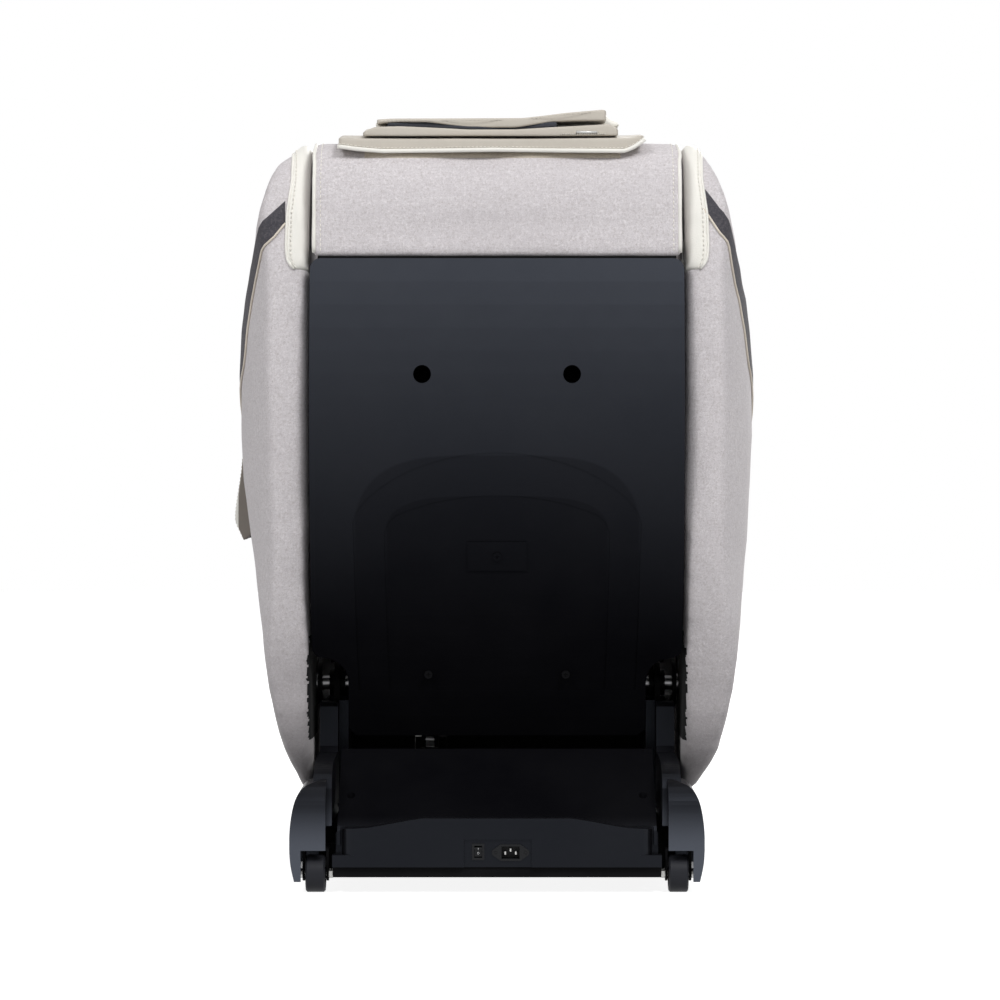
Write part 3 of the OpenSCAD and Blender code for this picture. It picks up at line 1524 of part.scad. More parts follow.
base_frame();
pivot_pillars();
tail_cover();
tail_cover_screws();
side_cover_left();
side_cover_right();
front_panel();
front_feet();
caster_forks();
caster_axles();
caster_wheel_left();
caster_wheel_right();
power_inlet();
switch_housing();
switch_rocker();
power_supply();
control_box();
air_pump();
seat_frame();
main_shaft();
seat_board();
seat_cushion();
side_pod_left();
side_pod_right();
pod_trim_left();
pod_trim_right();
remote_pocket();
remote_control();
key_power();
key_recline();
key_program();
back_frame();
guide_racks();
back_cover();
back_cover_screws();
back_hatch();
head_pad();
back_cushion();
pillow_flap();
head_pillow();
carriage_frame();
carriage_motors();
drive_pinions();
kneading_shaft();
roller_arm_left();
roller_arm_right();
roller_upper_left();
roller_lower_left();
roller_upper_right();
roller_lower_right();
leg_frame();
calf_pad();
foot_slide();
foot_pad();
tilt_actuator();
tilt_rod();
recline_actuator();
recline_rod();
leg_actuator();
leg_rod();
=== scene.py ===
import math
import bmesh
import bpy
import numpy as np
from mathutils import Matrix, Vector, noise
from mathutils.bvhtree import BVHTree
from mathutils.kdtree import KDTree


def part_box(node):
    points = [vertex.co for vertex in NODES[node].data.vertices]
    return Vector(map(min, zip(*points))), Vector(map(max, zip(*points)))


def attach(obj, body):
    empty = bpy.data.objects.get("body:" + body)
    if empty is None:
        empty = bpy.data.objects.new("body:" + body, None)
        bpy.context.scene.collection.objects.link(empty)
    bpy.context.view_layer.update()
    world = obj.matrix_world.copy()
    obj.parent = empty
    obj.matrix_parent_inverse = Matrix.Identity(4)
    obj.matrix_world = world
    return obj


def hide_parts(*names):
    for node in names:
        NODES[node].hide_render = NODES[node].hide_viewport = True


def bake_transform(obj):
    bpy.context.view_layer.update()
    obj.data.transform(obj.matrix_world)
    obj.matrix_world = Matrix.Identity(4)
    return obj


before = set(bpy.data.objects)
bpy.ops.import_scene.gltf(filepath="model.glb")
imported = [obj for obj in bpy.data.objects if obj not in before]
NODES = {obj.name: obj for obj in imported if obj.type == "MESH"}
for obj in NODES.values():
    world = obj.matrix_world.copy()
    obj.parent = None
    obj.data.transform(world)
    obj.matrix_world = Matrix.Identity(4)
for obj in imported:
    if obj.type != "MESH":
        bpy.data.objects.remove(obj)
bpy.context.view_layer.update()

scene = bpy.context.scene
LEAN = math.radians(10)
PIVOT = (0.290, 0.262)        # main shaft: forward of the rear face, above the floor
REAR_Y = 0.600                # the rear face of the base
SIDES = {1: "left", -1: "right"}


# ---------------------------------------------------------------- camera
CAMERA_X, CAMERA_Y, CAMERA_Z = -0.004, 5.10, 0.590
CAMERA_TILT = math.radians(0.84)
FOCAL_PX = 3394.0
PHOTO_PX = 1000
MIDDLE_PX, EYE_PX = 497, 450  # photograph column of the chair's middle and row of the camera's height

camera = bpy.data.objects.new("camera", bpy.data.cameras.new("camera"))
camera.data.sensor_fit = "HORIZONTAL"
camera.data.sensor_width = 36
camera.data.lens = FOCAL_PX * camera.data.sensor_width / PHOTO_PX
camera.location = (CAMERA_X, CAMERA_Y, CAMERA_Z)
camera.rotation_euler = (math.pi / 2 - CAMERA_TILT, 0, math.pi)
scene.collection.objects.link(camera)
scene.camera = camera
scene.view_settings.view_transform = "Standard"


def scale_at(y):
    """Metres per pixel of the photograph at a place along y."""
    return (CAMERA_Y - y) / FOCAL_PX


def across(px, depth):
    """x of a photograph column, depth metres forward of the base's rear face."""
    return -(px - MIDDLE_PX) * scale_at(REAR_Y - depth)


def height_at(py, depth):
    """z of a photograph row, depth metres forward of the base's rear face."""
    return CAMERA_Z + (EYE_PX - py) * scale_at(REAR_Y - depth)


def seen(px, py, depth):
    """The point at a photograph pixel, depth metres forward of the base's rear face."""
    return Vector((across(px, depth), REAR_Y - depth, height_at(py, depth)))


def add(name, mesh):
    ob = bpy.data.objects.new(name, mesh)
    scene.collection.objects.link(ob)
    return ob


def in_back(v, u, x=0.0):
    """A point of the back's own frame: v forward of the shaft and u up along the back, in metres."""
    f = PIVOT[0] + v * math.cos(LEAN) - u * math.sin(LEAN)
    return Vector((x, REAR_Y - f, PIVOT[1] + v * math.sin(LEAN) + u * math.cos(LEAN)))


# ---------------------------------------------------------------- materials
class Surface:
    """A material's nodes, with short names for what most materials here need."""

    def __init__(self, name, colour, roughness=0.5, metallic=0.0, specular=0.5):
        self.material = bpy.data.materials.new(name)
        self.material.use_nodes = True
        self.tree = self.material.node_tree
        self.bsdf = self.tree.nodes["Principled BSDF"]
        self.bsdf.inputs["Base Color"].default_value = (*colour, 1)
        self.bsdf.inputs["Roughness"].default_value = roughness
        self.bsdf.inputs["Metallic"].default_value = metallic
        self.bsdf.inputs["Specular IOR Level"].default_value = specular
        self.place = self.tree.nodes.new("ShaderNodeTexCoord").outputs["Object"]
        self.height = None

    def node(self, kind, **values):
        made = self.tree.nodes.new(kind)
        for key, value in values.items():
            if key in made.inputs:
                made.inputs[key].default_value = value
            else:
                setattr(made, key, value)
        return made

    def link(self, a, b):
        self.tree.links.new(a, b)

    def stretched(self, scale):
        mapping = self.node("ShaderNodeMapping")
        mapping.inputs["Scale"].default_value = scale
        self.link(self.place, mapping.inputs["Vector"])
        return mapping.outputs["Vector"]

    def noise(self, scale, detail=2.0, rough=0.5, stretch=None):
        made = self.node("ShaderNodeTexNoise", Scale=scale, Detail=detail, Roughness=rough)
        self.link(self.stretched(stretch) if stretch else self.place, made.inputs["Vector"])
        return made.outputs["Fac"]

    def cells(self, scale, random=1.0, feature="F1", stretch=None):
        made = self.node("ShaderNodeTexVoronoi", Scale=scale, Randomness=random)
        made.feature = feature
        self.link(self.stretched(stretch) if stretch else self.place, made.inputs["Vector"])
        return made.outputs["Distance"]

    def remap(self, value, low, high, to_low=0.0, to_high=1.0, eased=False):
        made = self.node("ShaderNodeMapRange", interpolation_type="SMOOTHSTEP" if eased else "LINEAR")
        for name, number in zip(("From Min", "From Max", "To Min", "To Max"), (low, high, to_low, to_high)):
            made.inputs[name].default_value = number
        self.link(value, made.inputs["Value"])
        return made.outputs["Result"]

    def along(self):
        """The place along x, y and z."""
        split = self.node("ShaderNodeSeparateXYZ")
        self.link(self.place, split.inputs[0])
        return split.outputs

    def math(self, operation, a, b):
        made = self.node("ShaderNodeMath", operation=operation)
        for socket, value in zip(made.inputs, (a, b)):
            if isinstance(value, (int, float)):
                socket.default_value = value
            else:
                self.link(value, socket)
        return made.outputs["Value"]

    def tint(self, factor, under, over):
        """The base colour runs from under to over with the factor; each is a colour or a node's output."""
        made = self.node("ShaderNodeMix", data_type="RGBA")
        for socket in made.inputs:
            value = {"A": under, "B": over}.get(socket.name) if socket.type == "RGBA" else None
            if isinstance(value, tuple):
                socket.default_value = (*value, 1)
            elif value:
                self.link(value, socket)
        self.link(factor, made.inputs["Factor"])
        self.colour = next(s for s in made.outputs if s.type == "RGBA")
        self.link(self.colour, self.bsdf.inputs["Base Color"])

    def shade(self, factor, colour, amount):
        """Lays a colour over the base colour where the factor is 1."""
        self.tint(self.math("MULTIPLY", factor, amount), self.colour, colour)

    def rough(self, factor, low, high):
        self.link(self.remap(factor, 0, 1, low, high), self.bsdf.inputs["Roughness"])

    def bump(self, height, distance, strength):
        made = self.node("ShaderNodeBump", Strength=strength, Distance=distance)
        self.link(height, made.inputs["Height"])
        if self.height:
            self.link(self.height, made.inputs["Normal"])
        self.height = made.outputs["Normal"]
        self.link(self.height, self.bsdf.inputs["Normal"])

    def sheen(self, weight, roughness, tint=(1, 1, 1)):
        self.bsdf.inputs["Sheen Weight"].default_value = weight
        self.bsdf.inputs["Sheen Roughness"].default_value = roughness
        self.bsdf.inputs["Sheen Tint"].default_value = (*tint, 1)


def srgb(colour):
    """The linear colour of one given as the 0 to 255 that show on a screen."""
    return tuple((c / 255 / 12.92) if c <= 10 else ((c / 255 + 0.055) / 1.055) ** 2.4 for c in colour)


def toned(colour, times, plus=0.0):
    """A colour made darker or paler."""
    return tuple(min(1, c * times + plus) for c in colour)


def woven(name, pale, dark, fleck, pitch=0.0011, sheen=0.25, shade_near_floor=0.0):
    """Plain-weave upholstery cloth of mixed yarns, with painted shade that makes it darker towards the floor.
    """
    pale, dark, fleck = srgb(pale), srgb(dark), srgb(fleck)
    s = Surface(name, pale, 0.92, specular=0.25)
    yarn = s.noise(1 / pitch, 3, 0.7)
    streak_x = s.noise(420, 2, 0.6, (0.14, 0.14, 1))
    streak_z = s.noise(420, 2, 0.6, (1, 1, 0.14))
    mix = s.math("ADD", s.math("MULTIPLY", yarn, 0.64),
                 s.math("MULTIPLY", s.math("ADD", streak_x, streak_z), 0.18))
    s.tint(s.remap(mix, 0.34, 0.66), dark, pale)
    s.shade(s.remap(s.noise(650, 1, 0.5), 0.66, 0.74), fleck, 0.55)
    s.shade(s.remap(s.noise(290, 2, 0.75), 0.50, 0.66), fleck, 0.30)
    s.shade(s.remap(s.noise(240, 2, 0.75), 0.54, 0.70), toned(pale, 1.12), 0.5)
    s.shade(s.remap(s.noise(7, 3, 0.6), 0.42, 0.72), toned(dark, 0.93), 0.22)
    if shade_near_floor:
        # Painted shade: the cloth darkens from 0.42 m down to 0.16 m above the floor
        s.shade(s.remap(s.along()[2], 0.42, 0.16, eased=True), toned(dark, 0.5), shade_near_floor)
    s.bump(s.cells(1 / pitch / 1.25, 0.35), 0.0006, 0.55)
    s.bump(s.noise(60, 3, 0.55), 0.0016, 0.25)
    s.sheen(sheen, 0.5, (1, 0.98, 0.97))
    return s.material


def hide(name, colour, grain=900.0, roughness=0.48, depth=0.00035):
    """Coated upholstery leather: a pebbled grain with fine creases."""
    colour = srgb(colour)
    s = Surface(name, colour, roughness, specular=0.42)
    pebble = s.cells(grain, 1.0)
    s.tint(s.remap(s.noise(11, 4, 0.6), 0.3, 0.75), toned(colour, 0.93), colour)
    s.shade(s.remap(pebble, 0.0, 0.35, 1, 0), toned(colour, 0.86), 0.25)
    s.rough(s.noise(70, 3, 0.6), roughness - 0.07, roughness + 0.10)
    s.bump(pebble, depth, 0.5)
    s.bump(s.noise(35, 4, 0.55), 0.0012, 0.22)
    s.sheen(0.08, 0.4)
    return s.material


def moulded(name, colour, roughness=0.42, grain=2600.0, depth=0.00008, worn=0.10, specular=0.5, painted_reflection=None,
             arches=()):
    """Moulded plastic: spark-eroded grain, faint flow marks and dust.

    painted_reflection holds an axis, two places on it and the specular level at each: a painted reflection
    that runs between them.
    arches holds half width, shoulder height, top height and how much of the painted reflection each area
    pressed into it loses, as painted shade.
    """
    colour = srgb(colour)
    s = Surface(name, colour, roughness, specular=specular)
    # Painted reflection: the specular level runs between two places on an axis, with a blue tint in the
    # reflections; the arches dim it as painted shade
    if painted_reflection:
        axis, start, end, at_start, at_end = painted_reflection
        place = s.along()
        level = s.remap(place[axis], start, end, at_start, at_end, eased=True)
        for half, shoulder, top, less in arches:
            wide = s.math("POWER", s.math("DIVIDE", s.math("ABSOLUTE", place[0], 0), half), 4)
            rise = s.math("DIVIDE", s.math("SUBTRACT", place[2], shoulder), top - shoulder)
            tall = s.math("POWER", s.math("MAXIMUM", rise, 0), 2)
            inside = s.remap(s.math("ADD", wide, tall), 0.97, 1.03, 1 - less, 1)
            level = s.math("MULTIPLY", level, inside)
        s.link(level, s.bsdf.inputs["Specular IOR Level"])
        s.bsdf.inputs["Specular Tint"].default_value = (0.74, 0.82, 1.0, 1)
    s.tint(s.remap(s.noise(5, 5, 0.6), 0.35, 0.7), colour, toned(colour, 1.12, 0.002))
    s.shade(s.remap(s.noise(340, 2, 0.6), 0.70, 0.80), toned(colour, 1, 0.09), worn)
    s.rough(s.noise(38, 4, 0.6), roughness - 0.05, roughness + 0.09)
    s.bump(s.noise(grain, 2, 0.5), depth, 0.6)
    s.bump(s.noise(9, 2, 0.5), 0.0009, 0.10)
    return s.material


def metal(name, colour, roughness=0.3, brushed=(1, 1, 1), metallic=1.0):
    """Plated or turned metal with fine lines and a mottled polish."""
    s = Surface(name, colour, roughness, metallic)
    s.tint(s.remap(s.noise(45, 5, 0.65), 0.3, 0.75), toned(colour, 0.82), colour)
    s.rough(s.noise(260, 3, 0.6, brushed), roughness - 0.08, roughness + 0.14)
    s.bump(s.noise(900, 2, 0.6, brushed), 0.00006, 0.4)
    return s.material


def painted(name, colour, roughness=0.5, specular=0.12):
    """Powder coat: orange peel, with a little bare metal where it is rubbed."""
    colour = srgb(colour)
    s = Surface(name, colour, roughness, specular=specular)
    s.tint(s.remap(s.noise(14, 4, 0.6), 0.3, 0.75), colour, toned(colour, 1.25, 0.004))
    s.shade(s.remap(s.noise(210, 4, 0.7), 0.73, 0.78), (0.10, 0.10, 0.105), 0.30)
    s.rough(s.noise(120, 3, 0.6), roughness - 0.08, roughness + 0.1)
    s.bump(s.noise(1300, 2, 0.5), 0.00012, 0.5)
    return s.material


# Finishes; all but the metals take their colours as a screen shows them
# The greige cloth carries painted shade towards the floor
FABRIC = woven("fabric_greige", (226, 222, 224), (190, 184, 187), (158, 148, 144), shade_near_floor=0.60)
FABRIC_SEAT = woven("fabric_seat", (222, 217, 217), (186, 179, 180), (154, 143, 139))
STRIPE = woven("woven_charcoal", (82, 80, 86), (52, 51, 57), (118, 114, 116), sheen=0.08)
CREAM = hide("leather_cream", (240, 238, 231))
CREAM_WORN = hide("leather_cream_back", (206, 200, 190), 1200, 0.62)
# The cream leather with its own grain and roughness, its colour darkened as painted shade, for the flap and
# the pillow's layers
CREAM_SHADED = hide("leather_cream_shaded", (198, 191, 180), 1000, 0.55)
HOOK_TAPE = woven("hook_tape", (214, 205, 190), (188, 178, 162), (170, 160, 146), 0.0008)
SLATE = woven("slate_lining", (74, 76, 84), (54, 56, 63), (40, 41, 47), 0.0009, sheen=0.08)
THREAD = Surface("thread_cream", srgb((238, 234, 226)), 0.7).material
# Painted shade for the remote pocket's rear and inner faces
POCKET_SHADE = hide("leather_pocket_shaded", (126, 119, 112), 1200, 0.6)
PIPING_WARM = hide("piping_cream", (222, 212, 198), 1400, 0.55)
# Painted reflection: the back cover grows lighter towards its top, the tail cover's fascia is lighter than
# its ramp, and the side covers' lower bulges carry a painted highlight
BLACK_COVER = moulded("plastic_cover", (10, 10, 13), 0.42, worn=0.02, specular=0.15,
                      painted_reflection=(2, 0.30, 0.90, 0.0, 0.46),
                      arches=((0.192, 0.488, 0.583, 0.30), (0.149, 0.486, 0.528, 0.28)))
BLACK_TAIL = moulded("plastic_tail", (10, 10, 13), 0.32, worn=0.02, specular=0.1,
                     painted_reflection=(1, 0.56, 0.592, 0.01, 0.17))
BLACK_SIDE = moulded("plastic_side", (11, 11, 14), 0.30, worn=0.03, specular=0.4,
                     painted_reflection=(2, 0.055, 0.135, 1.0, 0.12))
BLACK_BASE = moulded("plastic_base", (13, 13, 16), 0.36, worn=0.05, specular=0.15)
BLACK_SOFT = moulded("plastic_black", (14, 15, 18), 0.45, worn=0.04, specular=0.2)
RUBBER = moulded("rubber_black", (22, 22, 23), 0.75, 1200, 0.0002, 0.05, 0.3)
NYLON = moulded("nylon_wheel", (34, 35, 40), 0.45, 1500, 0.0001, 0.15, 0.14)
ZINC = metal("zinc", (0.52, 0.52, 0.51), 0.34)
SHAFT_STEEL = metal("shaft_steel", (0.34, 0.34, 0.35), 0.30, (0.05, 1, 1))
DARK_SCREW = moulded("screw_black", (9, 9, 11), 0.45, worn=0.02, specular=0.04)
STEEL_PAINT = painted("powder_black", (12, 12, 14), specular=0.04)
PEWTER = painted("powder_grey", (96, 98, 100), 0.45)
ALU = metal("aluminium_case", (0.60, 0.61, 0.62), 0.38, (1, 0.08, 1))
ACETAL = moulded("acetal", (226, 222, 208), 0.38, 2000, 0.00005, 0.05)
ROLLER = moulded("roller_rubber", (178, 152, 118), 0.62, 900, 0.0002, 0.1, 0.35)
KEY_RED = moulded("key_red", (160, 58, 46), 0.55)
KEY_GREY = moulded("key_grey", (196, 197, 198), 0.55)
# Black knit: a real lining for the head pad's hem, the pads and the dust cloth, and painted shade in the
# pods' notches and at the back cushion's rear
LINING_AND_SHADE = woven("black_lining_and_shade", (16, 16, 17), (8, 8, 9), (24, 24, 25), 0.0016, 0.02)


def birch():
    """Birch plywood with long grain."""
    s = Surface("birch_ply", (0.60, 0.43, 0.27), 0.6)
    grain = s.noise(26, 6, 0.62, (7, 0.5, 7))
    s.tint(s.remap(grain, 0.3, 0.7), (0.46, 0.31, 0.18), (0.66, 0.50, 0.33))
    s.shade(s.remap(s.noise(140, 3, 0.6, (9, 0.6, 9)), 0.6, 0.75), (0.36, 0.23, 0.13), 0.4)
    s.rough(s.noise(40, 3), 0.5, 0.72)
    s.bump(grain, 0.0003, 0.4)
    return s.material


BIRCH = birch()


# ---------------------------------------------------------------- mesh helpers
def clamped(value):
    return max(0.0, min(1.0, value))


def run_length(points):
    return sum((b - a).length for a, b in zip(points, points[1:]))


def track(points, x):
    """A value that runs through (x, value) points."""
    return float(np.interp(x, *zip(*points)))


def run_through(points, n):
    """A smooth run through points, with n steps between neighbours."""
    p = [Vector(q) for q in points]
    out = []
    for i in range(len(p) - 1):
        a, b, c, d = p[max(i - 1, 0)], p[i], p[i + 1], p[min(i + 2, len(p) - 1)]
        for k in range(n):
            t = k / n
            out.append(0.5 * (2 * b + (c - a) * t + (2 * a - 5 * b + 4 * c - d) * t * t
                              + (3 * b - a - 3 * c + d) * t * t * t))
    out.append(p[-1])
    return out


def evenly(points, count):
    """count points evenly spaced along a run of points."""
    lengths = [0.0]
    for a, b in zip(points, points[1:]):
        lengths.append(lengths[-1] + (b - a).length)
    out, k = [], 0
    for i in range(count):
        want = lengths[-1] * i / (count - 1)
        while k < len(points) - 2 and lengths[k + 1] < want:
            k += 1
        span = lengths[k + 1] - lengths[k]
        out.append(points[k].lerp(points[k + 1], (want - lengths[k]) / span if span > 1e-9 else 0.0))
    return out


def mesh_of(name, verts, faces, smooth=True):
    mesh = bpy.data.meshes.new(name)
    mesh.from_pydata([tuple(v) for v in verts], [], faces)
    mesh.validate()
    for polygon in mesh.polygons:
        polygon.use_smooth = smooth
    return mesh


def facing_out(mesh):
    """Turns every face of a closed mesh outward."""
    bm = bmesh.new()
    bm.from_mesh(mesh)
    bmesh.ops.recalc_face_normals(bm, faces=bm.faces)
    bm.to_mesh(mesh)
    bm.free()
    return mesh


def finished(ob, material, body):
    """Gives a piece its material, in its one slot, and attaches it to its body; a body given as a tuple only
    fixes the piece in place.
    """
    ob.data.materials.clear()
    ob.data.materials.append(material)
    if isinstance(body, tuple):
        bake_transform(ob)
    else:
        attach(ob, body)
    return ob


def faced(ob, material, where):
    """Gives a further material to the faces for which where(centre, normal) holds."""
    ob.data.materials.append(material)
    index = len(ob.data.materials) - 1
    for polygon in ob.data.polygons:
        if where(polygon.center, polygon.normal):
            polygon.material_index = index


def coords(ob):
    co = np.empty(len(ob.data.vertices) * 3)
    ob.data.vertices.foreach_get("co", co)
    return co.reshape(-1, 3)


def normals(ob):
    n = np.empty(len(ob.data.vertices) * 3)
    ob.data.vertices.foreach_get("normal", n)
    return n.reshape(-1, 3)


def put(ob, co):
    ob.data.vertices.foreach_set("co", np.ascontiguousarray(co).ravel())
    ob.data.update()


def settle(ob):
    """Applies the piece's modifiers to its mesh."""
    bpy.context.view_layer.update()
    mesh = bpy.data.meshes.new_from_object(ob.evaluated_get(bpy.context.evaluated_depsgraph_get()))
    ob.modifiers.clear()
    old = ob.data
    ob.data = mesh
    bpy.data.meshes.remove(old)
    for polygon in mesh.polygons:
        polygon.use_smooth = True
    return ob


def cad_copy(name, node):
    """A new piece with the mesh of a CAD node."""
    bm = bmesh.new()
    bm.from_mesh(NODES[node].data)
    bmesh.ops.remove_doubles(bm, verts=bm.verts, dist=1e-6)
    mesh = bpy.data.meshes.new(name)
    bm.to_mesh(mesh)
    bm.free()
    return add(name, mesh)


def modified(ob, kind, **values):
    """Adds a modifier of a kind, with its settings."""
    modifier = ob.modifiers.new(kind, kind)
    for key, value in values.items():
        setattr(modifier, key, value)
    return modifier


def combined(ob, other):
    """Joins two pieces into one solid."""
    modified(ob, "BOOLEAN", operation="UNION", solver="EXACT", object=other)
    settle(ob)
    bpy.data.objects.remove(other)
    return ob


def remeshed(ob, voxel, rounds):
    """Gives a piece an even mesh, with its edges rounded over by the rounds of smoothing."""
    modified(ob, "REMESH", mode="VOXEL", voxel_size=voxel, use_smooth_shade=True)
    modified(ob, "SMOOTH", iterations=rounds)
    settle(ob)


def swell(ob, amount):
    put(ob, coords(ob) + normals(ob) * amount)


CLOTH_FRAMES = 20
CLOTH_STIFFNESS = 12.0


def puffed(ob, cap, pressure, pinned=None):
    """Inflates a closed mesh as cloth, and lets no point move further than cap."""
    start = coords(ob)
    modifier = modified(ob, "CLOTH")
    cloth = modifier.settings
    cloth.quality = 4
    cloth.mass = 0.3
    cloth.use_pressure = True
    cloth.uniform_pressure_force = pressure
    cloth.tension_stiffness = CLOTH_STIFFNESS
    cloth.compression_stiffness = CLOTH_STIFFNESS
    cloth.shear_stiffness = CLOTH_STIFFNESS / 2
    cloth.bending_stiffness = 0.6
    cloth.effector_weights.gravity = 0
    modifier.collision_settings.use_collision = False
    if pinned is not None:
        group = ob.vertex_groups.new(name="pin")
        held = [i for i, p in enumerate(start) if pinned(p)]
        group.add(held, 1.0, "REPLACE")
        cloth.vertex_group_mass = "pin"
    modifier.point_cache.frame_start = 1
    modifier.point_cache.frame_end = CLOTH_FRAMES
    for step in range(1, CLOTH_FRAMES + 1):
        scene.frame_set(step)
    settle(ob)
    ob.vertex_groups.clear()
    moved = coords(ob) - start
    length = np.linalg.norm(moved, axis=1, keepdims=True)
    put(ob, start + moved * np.minimum(1.0, cap / np.maximum(length, 1e-9)))
    scene.frame_set(1)


def finer(ob):
    """Subdivides a piece once."""
    modified(ob, "SUBSURF", levels=1, render_levels=1)
    settle(ob)


def stuffed(ob, drawn_in, voxel, rounds, cap, pressure, pinned=None):
    """Makes a cushion of a CAD block: drawn in, rounded over, inflated and subdivided."""
    swell(ob, -drawn_in)
    remeshed(ob, voxel, rounds)
    puffed(ob, cap, pressure, pinned)
    finer(ob)


def wrinkled(ob, amount, size, seed=0.0, where=None):
    """Moves the surface in and out by a low, smooth noise."""
    co, n = coords(ob), normals(ob)
    for i, p in enumerate(co):
        weight = 1.0 if where is None else where(p)
        if weight:
            h = noise.noise(Vector((p[0] / size + seed, p[1] / size, p[2] / size)))
            co[i] = p + n[i] * (h * amount * weight)
    put(ob, co)


def rings(points, radius, sides, closed=False, squash=1.0, up=None):
    """Rings of a tube along points, with a frame that doesn't twist. squash flattens it across up."""
    n = len(points)
    out = []
    previous = None
    for i, p in enumerate(points):
        a = points[(i - 1) % n] if closed or i else points[0]
        b = points[(i + 1) % n] if closed or i < n - 1 else points[-1]
        along = (b - a).normalized()
        if up is not None:
            side = along.cross(up[i] if isinstance(up, list) else up).normalized()
        elif previous is None:
            side = along.orthogonal().normalized()
        else:
            side = (previous - along * previous.dot(along)).normalized()
        previous = side
        other = along.cross(side).normalized()
        r = radius[i] if isinstance(radius, list) else radius
        out.append([p + side * (r * math.cos(2 * math.pi * k / sides))
                    + other * (r * squash * math.sin(2 * math.pi * k / sides)) for k in range(sides)])
    return out


def skin(loops, closed=False):
    """Verts and faces between rings, capped at both ends unless closed."""
    sides = len(loops[0])
    verts = [v for loop in loops for v in loop]
    faces = []
    last = len(loops) if closed else len(loops) - 1
    for i in range(last):
        a, b = i * sides, ((i + 1) % len(loops)) * sides
        for k in range(sides):
            faces.append((a + k, a + (k + 1) % sides, b + (k + 1) % sides, b + k))
    if not closed:
        faces.append(tuple(reversed(range(sides))))
        faces.append(tuple(range(len(verts) - sides, len(verts))))
    return verts, faces


def tube(name, points, radius, material, body, sides=8, closed=False, squash=1.0, up=None):
    verts, faces = skin(rings(points, radius, sides, closed, squash, up), closed)
    return finished(add(name, mesh_of(name, verts, faces)), material, body)


def stitched(name, points, ups, material, body, pitch=0.0055, length=0.0036, radius=0.00045,
             lift=0.0004):
    """A row of sewn stitches along points, each a short thread that dips at its ends."""
    count = max(2, int(run_length(points) / pitch))
    fine = evenly(points, count * 2 + 1)
    high = evenly([Vector(u) for u in ups], count * 2 + 1) if len(ups) > 1 else [ups[0]] * (count * 2 + 1)
    verts, faces = [], []
    for i in range(0, count * 2, 2):
        middle, up = fine[i + 1], Vector(high[i + 1]).normalized()
        along = (fine[i + 2] - fine[i]).normalized()
        path = [middle + along * (length * t / 2) + up * (lift - radius * 1.6 * t * t)
                for t in (-1, -0.4, 0.4, 1)]
        v, f = skin(rings(path, radius, 5))
        base = len(verts)
        verts += v
        faces += [tuple(base + k for k in face) for face in f]
    return finished(add(name, mesh_of(name, verts, faces)), material, body)


def rounded(t, power=6.0):
    """1 in the middle of 0 to 1, and 0 at both ends, as a rounded shoulder."""
    return max(0.0, 1 - abs(2 * t - 1) ** power) ** (1 / power)


def panel(name, rows, outward, thick, material, body, puff=0.0, sink=0.002, power=6.0, edge=0.15):
    """A closed panel that lies on a surface: rows of points on it, and the outward normal at each."""
    m, n = len(rows), len(rows[0])
    verts, faces = [], []
    for i in range(m):
        for j in range(n):
            s, t = i / (m - 1), j / (n - 1)
            h = thick * (edge + (1 - edge) * rounded(s, power) * rounded(t, power))
            h += puff * math.sin(math.pi * s) * math.sin(math.pi * t)
            verts.append(rows[i][j] + outward[i][j] * h)
    for i in range(m):
        for j in range(n):
            verts.append(rows[i][j] - outward[i][j] * sink)
    low = m * n
    for i in range(m - 1):
        for j in range(n - 1):
            a = i * n + j
            faces.append((a, a + 1, a + n + 1, a + n))
            faces.append((low + a, low + a + n, low + a + n + 1, low + a + 1))
    border = ([j for j in range(n)] + [i * n + n - 1 for i in range(1, m)]
              + [(m - 1) * n + j for j in range(n - 2, -1, -1)] + [i * n for i in range(m - 2, 0, -1)])
    for a, b in zip(border, border[1:] + border[:1]):
        faces.append((b, a, low + a, low + b))
    return finished(add(name, facing_out(mesh_of(name, verts, faces))), material, body)


